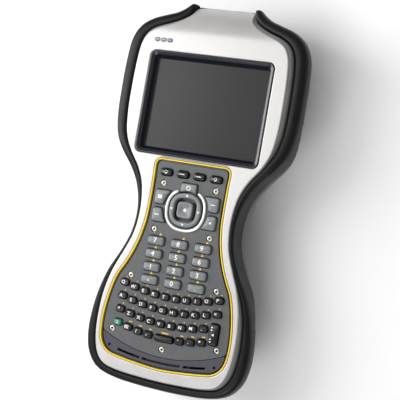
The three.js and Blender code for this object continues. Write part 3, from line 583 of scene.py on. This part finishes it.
def front_housing():
    drop = head_drop(FACE_LINE[:, 1])
    wall = between(CASING_SHARE)
    lip, inner_wall = grown(FACE_LINE, -1.6), grown(wall, -2.4)
    rows = [
        (wall, SPLIT - FACE), (wall, -7 - drop * 0.62), (between(CASING_SHARE * 0.97), -5.6 - drop * 0.78),
        (between(CASING_SHARE * 0.8), -4.0 - drop * 0.9), (between(CASING_SHARE * 0.45), -2.4 - drop),
        (between(0.03), -1.7 - drop), (lip, -1.8 - drop), (lip, -4.4 - drop),
        (inner_wall, -8 - drop * 0.62), (inner_wall, SPLIT - FACE),
    ]
    shape = lofted([ring(loop, h) for loop, h in rows], closed=True)
    piece("front_casing", shape, GRAPHITE, instead_of="front_housing", sharp=50)
    ledge = bead(grown(TRIM_LINE, 0.2), grown(TRIM_LINE, -3.2), -4.2, -2.5, edge=0.2)
    piece("keypad_ledge", ledge, NAVY)


def rear_pad_shapes():
    head = rounded([(-45, 94), (45, 94), (45, 112), (29, 124.5), (-29, 124.5), (-45, 112)], 5)
    base = rounded([(-42, -100), (-44, -112), (-34, -126), (34, -126), (44, -112), (42, -100)], 4)
    profile = ((3.4, 0), (2.2, 0.25), (1.2, 1.0), (0.6, 2.2), (0.3, 4), (0, BACK + 1.5))
    return [lofted([level_ring(grown(loop, -inset), z) for inset, z in profile]) for loop in (head, base)]


def prism(loop, low, high):
    return lofted([level_ring(loop, low), level_ring(loop, high)])


BACK_SCREWS = [(side * x, y) for x, y in ((47, 85), (46, 58), (40, -88), (35, -64)) for side in (-1, 1)]


def rear_housing():
    edge = BUMPER_LOW - 0.35
    rows = []
    for inset, rise in ((2.4, 0.0), (1.3, 0.35), (0.5, 1.1), (0.1, 2.4)):
        rows.append((grown(hull_at(HULL_BOTTOM + rise), -inset), HULL_BOTTOM + rise))
    start = HULL_BOTTOM + 3
    for share in (0.1, 0.3, 0.5, 0.7, 0.9, 1.0):
        h = start + (edge - 0.5 - start) * share
        rows.append((hull_at(h), h))
    wall = between(CASING_SHARE - 0.02)
    rows += [(grown(hull_at(edge), -0.5), edge), (wall, edge)]
    rows.append((wall, np.maximum(SPLIT - FACE - 0.3, edge + 0.2)))
    shell = lofted([ring(loop, h) for loop, h in rows])
    stylus_x, _ = centre_of("stylus")
    silo = box_shape((stylus_x - 6, 30, 4.6), (stylus_x + 6, 97, BACK + 3), edge=2.6)
    bay = prism(outline_of("battery_pack", 5.3, gap=0.4), -1, BACK + 12)
    latch_x, latch_y = centre_of("battery_latch")
    latch = prism(rectangle(latch_x, latch_y + 1.5, 18.8, 13.8, 1), -1, BACK + 1.8)
    camera = turned([(6.5, -2), (6.5, 11)], centre_of("camera_module"), 0)
    bore = turned_along_y([(3.35, 31), (3.35, 132)], stylus_x, STYLUS_Z)
    port = box_shape((-20, -131, 3), (20, -116, 12), edge=1)
    screws = [turned([(2.6, -1), (2.6, BACK + 2.2)], at, 0) for at in BACK_SCREWS]
    cuts = [bay, latch, camera, bore, port, *screws]
    mesh = carved("rear_casing", shell, [*rear_pad_shapes(), silo], cuts, bevel=0.25)
    piece("rear_casing", mesh, REAR_GREY, instead_of="rear_housing")
    for i, (x, y) in enumerate(BACK_SCREWS):
        piece(f"back_screw_{i + 1}", hex_screw(x, y, BACK + 0.5, -1), STEEL)


def hex_screw(x, y, z, direction):
    """A button-head screw with a hexagon socket, its head facing up (direction 1) or down (-1)."""
    head = [(2.2, -1.0), (2.2, -0.25), (2.05, 0.0), (1.75, 0.22), (1.3, 0.32), (1.02, 0.34)]
    rings = [level_ring(circle(x, y, radius, 36), z + direction * h) for radius, h in head]
    hexagon = hexagon_loop(x, y, 0.98, 36)
    rings.append(level_ring(hexagon, z + 0.28 * direction))
    rings.append(level_ring(hexagon, z - 0.6 * direction))
    return lofted(rings)


def hexagon_loop(x, y, radius, count):
    angle = full_turn(count)
    wedge = (angle + math.pi / 6) % (math.pi / 3) - math.pi / 6
    reach = radius * math.cos(math.pi / 6) / np.cos(wedge)
    return np.column_stack([x + reach * np.cos(angle), y + reach * np.sin(angle)])


def bumper():
    """The rubber bumper, swept from one horn round the base to the other."""
    low, crest, waist = BUMPER_LOW, BUMPER_CREST, WAIST
    inner = CASING_SHARE + 0.03
    deep = np.minimum(crest - 4, -7.5) * (1 - waist) + (crest - 3) * waist
    rows = [
        (between(inner), low), (grown(hull_at(low), -1.4), low), (grown(hull_at(low + 0.3), -0.5), low + 0.3),
    ]
    for share in (0.06, 0.25, 0.5, 0.75, 1.0):
        h = low + 1.1 + (deep - 4.5 - low - 1.1) * share
        rows.append((hull_at(h), h))
    rows += [(between(0.985), deep - 2), (between(0.96), deep + 0.2), (between(0.91), deep + 1.7)]
    crown = ((0.78, 1.2), (0.63, 0.45), (0.45, 0.05), (0.28, 0), (0.13, 0.25), (0.045, 0.8), (0, 1.7))
    for share, drop in crown:
        rows.append((between(inner + (1 - inner) * share), crest - drop))
    rows.append((between(inner), (crest + low) / 2))
    horn = int(1.75 * STEPS)  # the outline's point where a horn ends
    count = len(FACE_LINE) - 2 * horn + 1
    rings = np.array([ring(loop, h) for loop, h in rows])
    sections = [rounded_end(rings[:, horn + i], min(i, count - 1 - i), 6) for i in range(count)]
    piece("rubber_bumper", lofted(sections), RUBBER, instead_of="bumper", sharp=60)


def rounded_end(section, steps_from_end, reach, least=0.12):
    """Shrinks a section towards its middle near the end of the sweep, as a half-round tip."""
    if steps_from_end >= reach:
        return section
    share = 1 - steps_from_end / reach
    scale = max(least, math.sqrt(max(0, 1 - share**2)))
    middle = section.mean(axis=0)
    return middle + (section - middle) * scale


# ---- Screen ----
def screen():
    y, width, height, corner = SCREEN.values()
    steps = [
        (0, 0, -5.7), (0, 0, -0.15), (0.12, 0.05, 0.12), (0.4, 0.3, 0.28), (0.7, 0.5, 0.26), (1.0, 0.7, 0.12),
        (1.5, 1.0, -0.1), (2.0, 1.3, -0.34), (2.5, 1.6, -0.62), (2.95, 2.0, -1.1), (3.3, 2.3, -1.9),
        (4.2, 2.9, -4.9), (4.75, 3.2, -5.5), (4.95, 3.3, -5.75),
    ]
    rings = []
    for inset, softer, h in steps:
        loop = rectangle(0, y, width - 2 * inset, height - 2 * inset, corner - softer)
        rings.append(ring(loop, h))
    piece("screen_frame", lofted(rings, closed=True), FRAME_NAVY, instead_of="screen_bezel", sharp=50)
    panel = cap(rectangle(0, y, 91, 70.4, 2), -7.5, -6, bevel=0.2, crown=0.0, draft=0)
    piece("touch_panel", panel, GLASS, instead_of="touch_glass")


# ---- Keypad ----
def letter_keys():
    """Centre and legend of each letter key."""
    rows = ("QWERTYUIOP", "ASDFGHJKL<", "^ZXCVBNM,", "@/- '.*")
    keys = []
    for row, legends in enumerate(rows):
        columns = np.arange(-4.5, 5) if row < 3 else np.array([-3.5, -2.5, -1.5, None, 1.5, 2.5, 3.5])
        for column, legend in zip(columns, legends):
            if column is None:
                continue
            x = column * LETTER["pitch"]
            keys.append((x, LETTER["rows"][row] + LETTER["sag"] * x * x, legend))
    return keys


def letter_loop(x, y, gap=0.0):
    tilt = 2 * LETTER["sag"] * x * 0.4
    loop = rounded(rectangle(0, 0, LETTER["width"] + 2 * gap, LETTER["height"] + 2 * gap, 1.9, 6), 0.4, 0.3)
    turn = np.array([[math.cos(tilt), math.sin(tilt)], [-math.sin(tilt), math.cos(tilt)]])
    return loop @ turn + (x, y)


RECT_KEYS = [n for n in frame["nodes"] if n.startswith(("app_key", "number_key")) or n in (
    "space_key", "enter_key", "function_key")]


def rect_loop(node, gap=0.0):
    corner = 2.4 if node.startswith("app") else 1.7
    return rounded(outline_of(node, corner, gap, 5), 0.9, 0.3)


SIDE_SPANS = {
    "side_key_1": (-1, SIDE_KEY["upper"]), "side_key_2": (-1, SIDE_KEY["lower"]),
    "side_key_3": (1, SIDE_KEY["upper"]), "side_key_4": (1, SIDE_KEY["lower"]),
}


def side_loop(node, gap=0.0):
    """A side key: square outside, hollowed by the round pad beside it."""
    side, (low, high) = SIDE_SPANS[node]
    low, high = low - gap, high + gap
    outer, radius = SIDE_KEY["outer"] + gap, SIDE_KEY["arc"] - gap
    arc = [(math.sqrt(radius**2 - (y - DPAD_Y) ** 2), y) for y in np.linspace(high, low, 9)]
    points = [(outer, low), (outer, high), *arc]
    loop = np.array([(side * x, y) for x, y in points])
    return rounded(loop if side > 0 else loop[::-1], 2.4, 0.35)


def arc_points(radius, start, end, count):
    angle = np.radians(np.linspace(start, end, count))
    return [(radius * math.cos(a), DPAD_Y + radius * math.sin(a)) for a in angle]


def power_loop():
    """The power key: square at the top, hollowed by the direction ring below it."""
    half, high, radius = POWER_KEY["half"], POWER_KEY["high"], POWER_KEY["arc"]
    spread = math.degrees(math.asin(half / radius))
    return rounded([(half, high), (-half, high), *arc_points(radius, 90 + spread, 90 - spread, 9)], 1.8, 0.35)


def pad_opening():
    """The plate's opening for the direction pad and the power key, as one loop."""
    gap = 0.35
    half, high, radius = POWER_KEY["half"] + gap, POWER_KEY["high"] + gap, DPAD["ring"] + 0.95
    spread = math.degrees(math.asin(half / radius))
    around = arc_points(radius, 90 + spread, 450 - spread, 60)
    return rounded([(half, high), (-half, high), *around], 1.4, 0.35)


def plate_loop(inset, above_arc, gap=0.0):
    """The part of the trim's inside above or below the arc between keypad plate and chin."""
    loop = resample(grown(TRIM_LINE, -inset), 0.8)
    radius = PLATE_ARC["radius"] + gap
    above = np.hypot(loop[:, 0], loop[:, 1] - PLATE_ARC["y"]) < radius
    keep = above if above_arc else ~above
    start = int(np.argmax(keep & ~np.roll(keep, 1)))
    run = [loop[(start + i) % len(loop)] for i in range(int(keep.sum()))]
    first, last = run[0], run[-1]
    angles = [math.atan2(p[1] - PLATE_ARC["y"], p[0]) for p in (last, first)]
    inner = np.linspace(*angles, 60)[1:-1]
    arc = [(radius * math.cos(a), PLATE_ARC["y"] + radius * math.sin(a)) for a in inner]
    return soften(resample(np.array([*run, *arc]), 0.8), 0.8)


def keypad_plate():
    screws = [centre_of(n) for n in frame["nodes"] if n.startswith("plate_screw")]
    holes = [letter_loop(x, y, KEY_GAP) for x, y, _ in letter_keys()]
    holes += [rect_loop(node, KEY_GAP) for node in RECT_KEYS]
    holes += [side_loop(node, KEY_GAP) for node in SIDE_SPANS]
    holes += [circle(x, y, 2.5, 28) for x, y in screws]
    holes.append(pad_opening())
    shape = plate(plate_loop(PLATE_INSET, True), holes, -0.6, -2.2, edge=0.2, margin=0.1)
    piece("keypad_panel", shape, PLATE, instead_of="keypad_plate", sharp=50)
    for i, (x, y) in enumerate(screws):
        shape = joined(hex_screw(x, y, FACE - 0.75, 1), turned([(2.45, -2.1), (2.45, -1.75)], (x, y), FACE))
        piece(f"panel_screw_{i + 1}", shape, STEEL, instead_of=f"plate_screw_{i + 1}")
    # Black hexagons fill the screw sockets up to just under their rims: painted shade in the socket hollows.
    sockets = [prism(hexagon_loop(x, y, 0.96, 24), FACE - 1.3, FACE - 0.62) for x, y in screws]
    piece("panel_screw_socket_shade", joined(*sockets), KEY_BLACK)


def chin():
    slots = []
    for x, length in ((-25, 18), (0.7, 29.5), (26.2, 16.5)):
        xs = np.linspace(x - length / 2, x + length / 2, 14)
        ys = -118.9 + 0.0028 * xs**2
        slots.append(rounded([*zip(xs, ys - 0.75), *zip(xs[::-1], ys[::-1] + 0.75)], 0.35, 0.3))
    pinholes = [circle(x, -113.7, 0.95, 20) for x in (-41, 41)]
    shape = plate(plate_loop(PLATE_INSET, False, gap=0.35), [*slots, *pinholes], -0.85, -2.4, edge=0.25)
    piece("speaker_panel", shape, CHIN, instead_of="speaker_grille", sharp=50)


def trim():
    shape = bead(TRIM_LINE, grown(TRIM_LINE, -1.0), -2.2, 0.2, edge=0.35)
    piece("yellow_edge", shape, YELLOW, instead_of="yellow_trim", sharp=60)


def keys():
    for node in RECT_KEYS:
        look = KEY_GREY if node.startswith("number") else KEY_GREEN if node == "function_key" else KEY_BLACK
        bevel = 1.25 if node.startswith("number") else 1.1
        piece(f"{node}_cap", cap(rect_loop(node), KEY_BASE, 1.7, bevel, 0.3), look, node, node)
    for node in SIDE_SPANS:
        piece(f"{node}_cap", cap(side_loop(node), KEY_BASE, 1.6, 0.8, 0.3), KEY_GREY, node, node)
    piece("power_key_cap", cap(power_loop(), KEY_BASE, 1.4, 0.7, 0.15), KEY_GREY, "power_key", "power_key")
    caps = [cap(letter_loop(x, y), -3.6, 1.6, 0.7, 0.15) for x, y, _ in letter_keys()]
    piece("letter_keymat", joined(*caps), KEY_BLACK, sharp=80)


def squircle(half, power, count=120):
    angle = full_turn(count)
    c, s = np.cos(angle), np.sin(angle)
    reach = half / (np.abs(c) ** power + np.abs(s) ** power) ** (1 / power)
    return np.column_stack([reach * c, DPAD_Y + reach * s])


def direction_pad():
    ring_shape = bead(squircle(DPAD["ring"], 2.3), squircle(DPAD["ring_hole"], 3.6), -2.1, 1.5, edge=1.1)
    piece("direction_ring", ring_shape, KEY_GREY, "dpad_ring", "dpad_ring", sharp=60)
    ok = cap(squircle(DPAD["ok"], 4.2), KEY_BASE, 2.0, 0.9, 0.0, dish=0.9)
    piece("ok_key_cap", ok, KEY_GREY, "ok_key", "ok_key", sharp=60)
    silver_ring()


def silver_ring():
    """The bright ring round the direction pad, open where the power key passes."""
    radius, width, height, gap, power = SILVER_RING.values()
    sections = []
    angles = np.linspace(90 + gap, 450 - gap, 140)
    t = full_turn(16)
    for place, a in enumerate(np.radians(angles)):
        c, s = math.cos(a), math.sin(a)
        middle = radius * (abs(c) ** power + abs(s) ** power) ** (-1 / power)
        reach = middle + width / 2 * np.cos(t)
        section = np.column_stack([reach * c, DPAD_Y + reach * s, FACE + 0.05 + height / 2 * np.sin(t)])
        sections.append(rounded_end(section, min(place, len(angles) - 1 - place), 5, least=0.1))
    piece("silver_ring", lofted(sections), RING_SILVER, instead_of="dpad_trim", sharp=70)


# ---- Legends ----
def glyph(text, size):
    """A character as a flat mesh round the origin, in millimetres."""
    curve = bpy.data.curves.new("glyph", "FONT")
    curve.body = text
    curve.size = size
    curve.align_x = "CENTER"
    curve.align_y = "CENTER"
    curve.resolution_u = 3
    curve.offset = size * 0.018
    thing = added("glyph", curve)
    bm = bmesh.new()
    bm.from_mesh(applied(thing))
    bmesh.ops.triangulate(bm, faces=bm.faces)
    bmesh.ops.subdivide_edges(bm, edges=bm.edges, cuts=2, use_grid_fill=True)
    points = [tuple(v.co[:2]) for v in bm.verts]
    faces = [tuple(v.index for v in f.verts) for f in bm.faces]
    bm.free()
    bpy.data.objects.remove(thing)
    bpy.data.curves.remove(curve)
    return points, faces


def dot(radius, count=24):
    return circle(0, 0, radius, count), None


def bar(width, height):
    return rounded(rectangle(0, 0, width, height, min(width, height) * 0.45, 4), 0.1, 0.2), None


def triangle(size, turn):
    angles = [math.radians(turn + corner) for corner in (0, 120, 240)]
    points = [(size * math.cos(angle), size * math.sin(angle)) for angle in angles]
    return rounded(points, 0.15, 0.2), None


def ink(name, marks, target, look, body):
    """Printed marks laid on the surface below them: each mark is a flat shape and where it goes."""
    mesh = target.data
    tree = BVHTree.FromPolygons([v.co for v in mesh.vertices], [face.vertices for face in mesh.polygons])
    shapes = []
    for (points, faces), x, y in marks:
        if faces is None:
            faces = [tuple(range(len(points)))]
        laid = []
        for px, py in points:
            start = Vector(((px + x) * MM, (py + y) * MM, (FACE + 10) * MM))
            hit = tree.ray_cast(start, Vector((0, 0, -1)))[0]
            laid.append((px + x, py + y, (hit.z / MM if hit else FACE) + 0.07))
        shapes.append(thickened(laid, faces))
    piece(name, joined(*shapes), look, body)


def thickened(points, faces, depth=0.12):
    """A thin closed slab under a patch of faces."""
    count = len(points)
    low = [(x, y, z - depth) for x, y, z in points]
    edges = {}
    for face in faces:
        for a, b in zip(face, (*face[1:], face[0])):
            edges[(a, b)] = True
    rim = [(a, b) for a, b in edges if (b, a) not in edges]
    skin = [*faces, *[tuple(i + count for i in reversed(f)) for f in faces]]
    skin += [(b, a, a + count, b + count) for a, b in rim]
    return [*points, *low], skin


def legends():
    things = bpy.data.objects
    number_keys = [f"number_key_{i + 1}" for i in range(12)]
    for node, sign in zip(number_keys, "789456123-0."):
        x, y = centre_of(node)
        ink(f"{node}_legend", [(glyph(sign, 5.0), x - 0.3, y)], things[f"{node}_cap"], WHITE_INK, node)
    marks = [(glyph(legend, 3.6), x - 0.6, y) for x, y, legend in letter_keys() if legend.strip()]
    ink("letter_legends", marks, things["letter_keymat"], WHITE_INK, "casing")
    signs = {
        "app_key_1": dot(1.3), "app_key_2": bar(3.4, 0.6), "app_key_3": bar(3.4, 0.6), "app_key_4": dot(1.2),
        "side_key_1": (rectangle(0, 0, 3.2, 2.6, 0.5), None), "side_key_2": bar(3.6, 0.6),
        "side_key_3": bar(3.6, 0.6), "side_key_4": dot(0.8, 20), "power_key": glyph("O", 4.6),
        "ok_key": dot(1.15, 28), "function_key": dot(1.0), "enter_key": triangle(1.2, 180),
    }
    for node, sign in signs.items():
        x, y = centre_of(node)
        if node in SIDE_SPANS:
            x += 1.8 * SIDE_SPANS[node][0]
        ink(f"{node}_mark", [(sign, x, y)], things[f"{node}_cap"], WHITE_INK, node)
    x, y = centre_of("enter_key")
    column = [(bar(1.3, 0.8), x - 1.6, y + step) for step in (-5, -3.2, 3.2, 5)]
    ink("enter_key_column", column, things["enter_key_cap"], WHITE_INK, "enter_key")
    places = arc_points((DPAD["ring"] + DPAD["ring_hole"]) / 2, 0, 270, 4)
    arrows = [(triangle(1.15, turn), *place) for turn, place in zip((0, 90, 180, 270), places)]
    ink("direction_arrows", arrows, things["direction_ring"], WHITE_INK, "dpad_ring")
    second = []
    for x, y, _ in letter_keys():
        row = sum(1 for r in LETTER["rows"] if y < r + 4)
        wide = 2.6 if row == 4 else 1.1
        second.append((bar(wide, 0.75), x + 1.2, y + 4.0))
    for node in number_keys:
        x, y = centre_of(node)
        second.append((triangle(1.25, 90), x + (2.2 if y > -40 else 0.2), y + 4.6))
    second.append((bar(5.5, 0.9), 0.5, centre_of("space_key")[1] + 3.9))
    ink("second_legends", second, things["keypad_panel"], YELLOW_INK, "casing")


# ---- Small front parts ----
def status_lights():
    drop = float(head_drop(centre_of("light_pipe")[1]))
    looks = (LIGHT_CLEAR, LIGHT_CLEAR, LIGHT_BLUE)
    for i, (loop, look) in enumerate(zip(light_windows(0), looks)):
        lens = cap(loop, -5, 0.2 - drop, bevel=0.3, crown=0.1, draft=0.05)
        piece(f"status_light_{i + 1}", lens, look, instead_of="light_pipe" if i == 0 else ())


# ---- Back ----
def battery():
    x, y = centre_of("battery_pack")
    z = BACK
    profile = ((1.1, 0.25), (0.5, 0.4), (0.15, 0.8), (0, 1.4), (0, 19.6))
    rings = [level_ring(outline_of("battery_pack", 5 - inset, -inset), z + up) for inset, up in profile]
    shell = lofted(rings)
    ribs = [
        box_shape((x - 17, y - 40 + 3.4 * i, z - 0.4), (x + 17, y - 38.6 + 3.4 * i, z + 0.9), edge=0.3)
        for i in range(8)
    ]
    label = prism(rectangle(x, y + 16, 42, 40, 2), z - 1, z + 0.55)
    mesh = carved("battery_case", shell, (), [*ribs, label], bevel=0.2)
    piece("battery_case", mesh, BATTERY_GREY, instead_of="battery_pack")


def latch():
    x, y = centre_of("battery_latch")
    slider = box_shape((x - 9, y - 5, BACK - 1), (x + 9, y + 5, BACK + 1.3), edge=0.6)
    ridges = [
        box_shape((x - 6, y + step - 0.6, BACK - 1.9), (x + 6, y + step + 0.6, BACK), edge=0.4)
        for step in (-2.4, 0, 2.4)
    ]
    piece("latch_slider", joined(slider, *ridges), YELLOW, "battery_latch", "battery_latch")


def strap_line(steps=60):
    """Centre of the strap from base to head, as pairs of y and z."""
    low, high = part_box("hand_strap")
    ys = np.linspace(low.y / MM - 0.6, high.y / MM + 0.6, steps + 1)
    share = np.linspace(0, 1, steps + 1)
    bow = soften_open(np.minimum(1, np.sin(share * math.pi) * 1.25))
    return ys, STRAP_Z + (STRAP_BOWED_Z - STRAP_Z) * bow


def soften_open(values, passes=6):
    for _ in range(passes):
        values = np.concatenate([values[:1], (values[:-2] + 2 * values[1:-1] + values[2:]) / 4, values[-1:]])
    return values


def strap_pad():
    """The padded strap, narrowed at its ends, and the webbing that runs along its inner side."""
    ys, zs = strap_line()
    pad_sections, web_sections = [], []
    for i, (y, z) in enumerate(zip(ys, zs)):
        ends = min(i, len(ys) - 1 - i)
        pad_half = 18.8 if ends > 8 else 12.6 + 6.2 * math.sin(ends / 9 * math.pi / 2)
        thick = 1.55 if ends > 3 else 1.0 + 0.18 * ends
        quilt = 0.12 * math.sin(i * 1.4) ** 2
        section = []
        for t in full_turn(28):
            c, s = math.cos(t), math.sin(t)
            x = pad_half * math.copysign(abs(c) ** 0.45, c)
            edge = 1 if abs(c) < 0.93 else 0.75
            section.append((x, y, z + (thick - quilt) * edge * math.copysign(abs(s) ** 0.6, s)))
        pad_sections.append(np.array(section))
        low, high = z - thick - 0.8, z - thick - 0.1
        web_sections.append(np.array([
            (-STRAP_HALF, y, low), (-STRAP_HALF, y, high), (STRAP_HALF, y, high), (STRAP_HALF, y, low),
        ]))
    pad = piece("strap_pad", lofted(pad_sections), WEBBING, instead_of="hand_strap", sharp=60)
    piece("strap_webbing", lofted(web_sections), WEBBING, sharp=60)


def strap_stitching():
    for side, name in ((-1, "left"), (1, "right")):
        x = side * 11.2
        stitches = [
            box_shape((x - 0.25, y - 0.95, z - 2.5), (x + 0.25, y + 0.95, z - 2.2), edge=0.12)
            for y, z in list(zip(*strap_line()))[3:-3]
        ]
        piece(f"strap_stitching_{name}", joined(*stitches), THREAD)


def strap_turns():
    """The webbing's two ends, turned back round the steel loops."""
    ys, _ = strap_line()
    for name, y, direction in (("top", ys[-1], 1), ("base", ys[0], -1)):
        sections = []
        for angle in np.linspace(0, math.pi, 13):
            section = []
            for x, radius in ((-1, 2.25), (1, 2.25), (1, 2.95), (-1, 2.95)):
                out, up = radius * math.sin(angle), radius * math.cos(angle)
                section.append((x * STRAP_HALF, y + direction * (1.2 + out), STRAP_Z - up))
            sections.append(np.array(section))
        piece(f"strap_turn_{name}", lofted(sections), WEBBING, sharp=60)


def strap_loops():
    for node in ("strap_anchor_top", "strap_anchor_bottom"):
        (left, front, _), (right, back, _) = (np.array(corner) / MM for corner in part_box(node))
        head = node.endswith("top")
        bar_y = front + 1.3 if head else back - 1.3
        wall_y = back - 1.5 if head else front + 1.5
        near, far = min(bar_y, wall_y) - 1.3, max(bar_y, wall_y) + 1.3
        rods = [
            (left, left + 3, near, far, 1.1), (right - 3, right, near, far, 1.1),
            (left, right, bar_y - 1.3, bar_y + 1.3, 1.2), (left, right, wall_y - 1.4, wall_y + 1.4, 1.0),
        ]
        parts = [box_shape((x0, y0, 8.1), (x1, y1, 10.9), edge=edge) for x0, x1, y0, y1, edge in rods]
        mesh = carved(f"{node}_loop", parts[0], parts[1:])
        piece(f"{node}_loop", mesh, STEEL, instead_of=node)


def stylus():
    x, _ = centre_of("stylus")
    low, high = (corner.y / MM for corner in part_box("stylus"))
    tip = [(0.3, low), (0.75, low + 0.5), (0.9, low + 2), (1.6, low + 5), (2.5, low + 10), (2.95, low + 14)]
    barrel = [(3, low + 30), (3, high - 7)]
    knob = [(3.5, high - 6.2), (3.6, high - 5.6), (3.3, high - 5), (3.3, high - 4.2), (3.6, high - 3.6),
            (3.6, high - 1.2), (3.3, high - 0.5), (2.6, high - 0.1), (1.0, high)]
    shape = turned_along_y([*tip, *barrel, *knob], x, STYLUS_Z)
    piece("stylus_body", shape, RUBBER, "stylus", "stylus", sharp=50)


def camera():
    x, y = centre_of("camera_module")
    barrel = [(6.2, 10), (6.2, 1.2), (6.0, 0.8), (5.5, 0.6), (4.6, 0.7), (4.2, 1.2), (3.6, 2.4), (3.3, 2.6)]
    piece("camera_barrel", turned(barrel[::-1], (x, y), 0, 48), NAVY, instead_of="camera_module")
    lens = [(3.25, 3.4), (3.25, 2.7), (2.9, 2.35), (2.2, 2.0), (1.2, 1.75), (0.3, 1.7)]
    piece("camera_lens", turned(lens[::-1], (x, y), 0, 40), LENS)
    points, faces = cap(rectangle(x - 13, y, 5, 3.4, 1.2), -1, 0.0, bevel=0.3, crown=0.1, draft=0)
    points = [(px, py, 0.15 - (pz - FACE)) for px, py, pz in points]
    piece("camera_flash", (points, faces), LIGHT_CLEAR)


def port_door():
    """The rubber cover, round along its hinge and softened at both ends, with grip ribs."""
    (left, front, bottom), (right, back, top) = (np.array(corner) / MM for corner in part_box("port_cover"))
    radius = (back - front) / 2
    centre_y, hinge_z = (back + front) / 2, bottom + radius
    outline = [(back, top - 0.5), (back - 0.4, top), (front + 0.6, top), (front, top - 0.6)]
    for angle in np.linspace(math.pi, 2 * math.pi, 10):
        outline.append((centre_y + radius * math.cos(angle), hinge_z + radius * math.sin(angle)))
    y, z = np.array(outline).T
    middle_z = (bottom + top) / 2
    ends = ((0, 0.75), (0.35, 0.93), (0.9, 1))
    stations = [(left + step, size) for step, size in ends]
    stations += [(right - step, size) for step, size in reversed(ends)]
    sections = []
    for x, size in stations:
        deep = middle_z + (z - middle_z) * (0.97 + 0.03 * size)
        sections.append(np.column_stack([np.full(len(y), x), centre_y + (y - centre_y) * size, deep]))
    grips = [
        box_shape((x, front - 0.35, 9.6), (x + 1.4, front + 0.4, 12.2), edge=0.3) for x in range(-9, 9, 3)
    ]
    piece("port_door", joined(lofted(sections), *grips), RUBBER, "port_cover", "port_cover", sharp=50)


def port_sockets():
    sockets = [
        box_shape((-16, -117.4, 4.6), (-4, -115.8, 10.4), edge=0.5),
        box_shape((0, -117.2, 5.4), (8, -115.8, 9.4), edge=0.8),
    ]
    piece("data_sockets", joined(*sockets), STEEL)
    socket = [(1.6, -116.5), (1.6, -118.3), (2.6, -118.3), (2.9, -118), (2.9, -115.8)]
    piece("power_socket", turned_along_y(socket, 14, 7.5, 28), NAVY)


def inside_pieces():
    looks = {
        "lcd_module": NAVY, "keypad_board": KEY_BLACK, "main_board": BOARD, "speaker": NAVY,
        "keymat": KEY_BLACK, "dpad_carrier": KEY_BLACK,
    }
    for node, look in looks.items():
        for slot in frame["nodes"][node].material_slots:
            slot.material = look


# ---- Scene ----
def stage():
    """A plain pale floor, in metres."""
    paper = bpy.data.materials.new("floor_paper")
    paper.use_nodes = True
    shader = paper.node_tree.nodes["Principled BSDF"]
    set_inputs(shader, {"Base Color": (0.95, 0.95, 0.95, 1), "Roughness": 0.9})
    mesh = bpy.data.meshes.new("floor")
    size = 6.0
    corners = [(-size, -size, 0), (size, -size, 0), (size, size, 0), (-size, size, 0)]
    mesh.from_pydata(corners, [], [(0, 1, 2, 3)])
    mesh.materials.append(paper)
    floor = added("floor", mesh)
    floor.location.z = -0.0002


def area_light(name, place, target, size, power):
    light = bpy.data.lights.new(name, "AREA")
    light.shape = "RECTANGLE"
    light.size, light.size_y = size
    light.energy = power
    thing = added(name, light)
    thing.location = place
    thing.rotation_euler = (Vector(target) - Vector(place)).to_track_quat("-Z", "Y").to_euler()


def lights():
    area_light("key_light", (-0.66, 0.1, 0.55), (0, 0, 0.03), (0.5, 0.9), 7.6)
    area_light("fill_light", (0.0, -0.8, 1.0), (0, 0, 0.03), (0.8, 0.6), 6)
    area_light("top_light", (-0.3, 0.3, 1.4), (0, 0.05, 0.03), (0.8, 0.5), 3)
    world = bpy.data.worlds.new("studio")
    world.use_nodes = True
    set_inputs(world.node_tree.nodes["Background"], {"Color": (1, 1, 1, 1), "Strength": 0.38})
    bpy.context.scene.world = world
    bpy.context.scene.view_settings.view_transform = "Standard"


def camera_view():
    """The camera stands to the right of the device, looking down on its face."""
    data = bpy.data.cameras.new("camera")
    data.lens = 99.0
    data.sensor_width = 36.0
    thing = added("camera", data)
    right = Vector((0.91677, 0.17077, -0.36107))
    up = Vector((-0.15442, 0.98524, 0.07391))
    back = right.cross(up)
    turn = Matrix((right, up, back)).transposed().to_4x4()
    thing.matrix_world = Matrix.Translation((0.29525, -0.00965, FACE * MM + 0.72094)) @ turn
    bpy.context.scene.camera = thing


camera_view()
stage()
lights()
faceplate()
front_housing()
rear_housing()
bumper()
screen()
trim()
keypad_plate()
chin()
keys()
direction_pad()
legends()
status_lights()
battery()
latch()
strap_pad()
strap_stitching()
strap_turns()
strap_loops()
stylus()
camera()
port_door()
port_sockets()
inside_pieces()
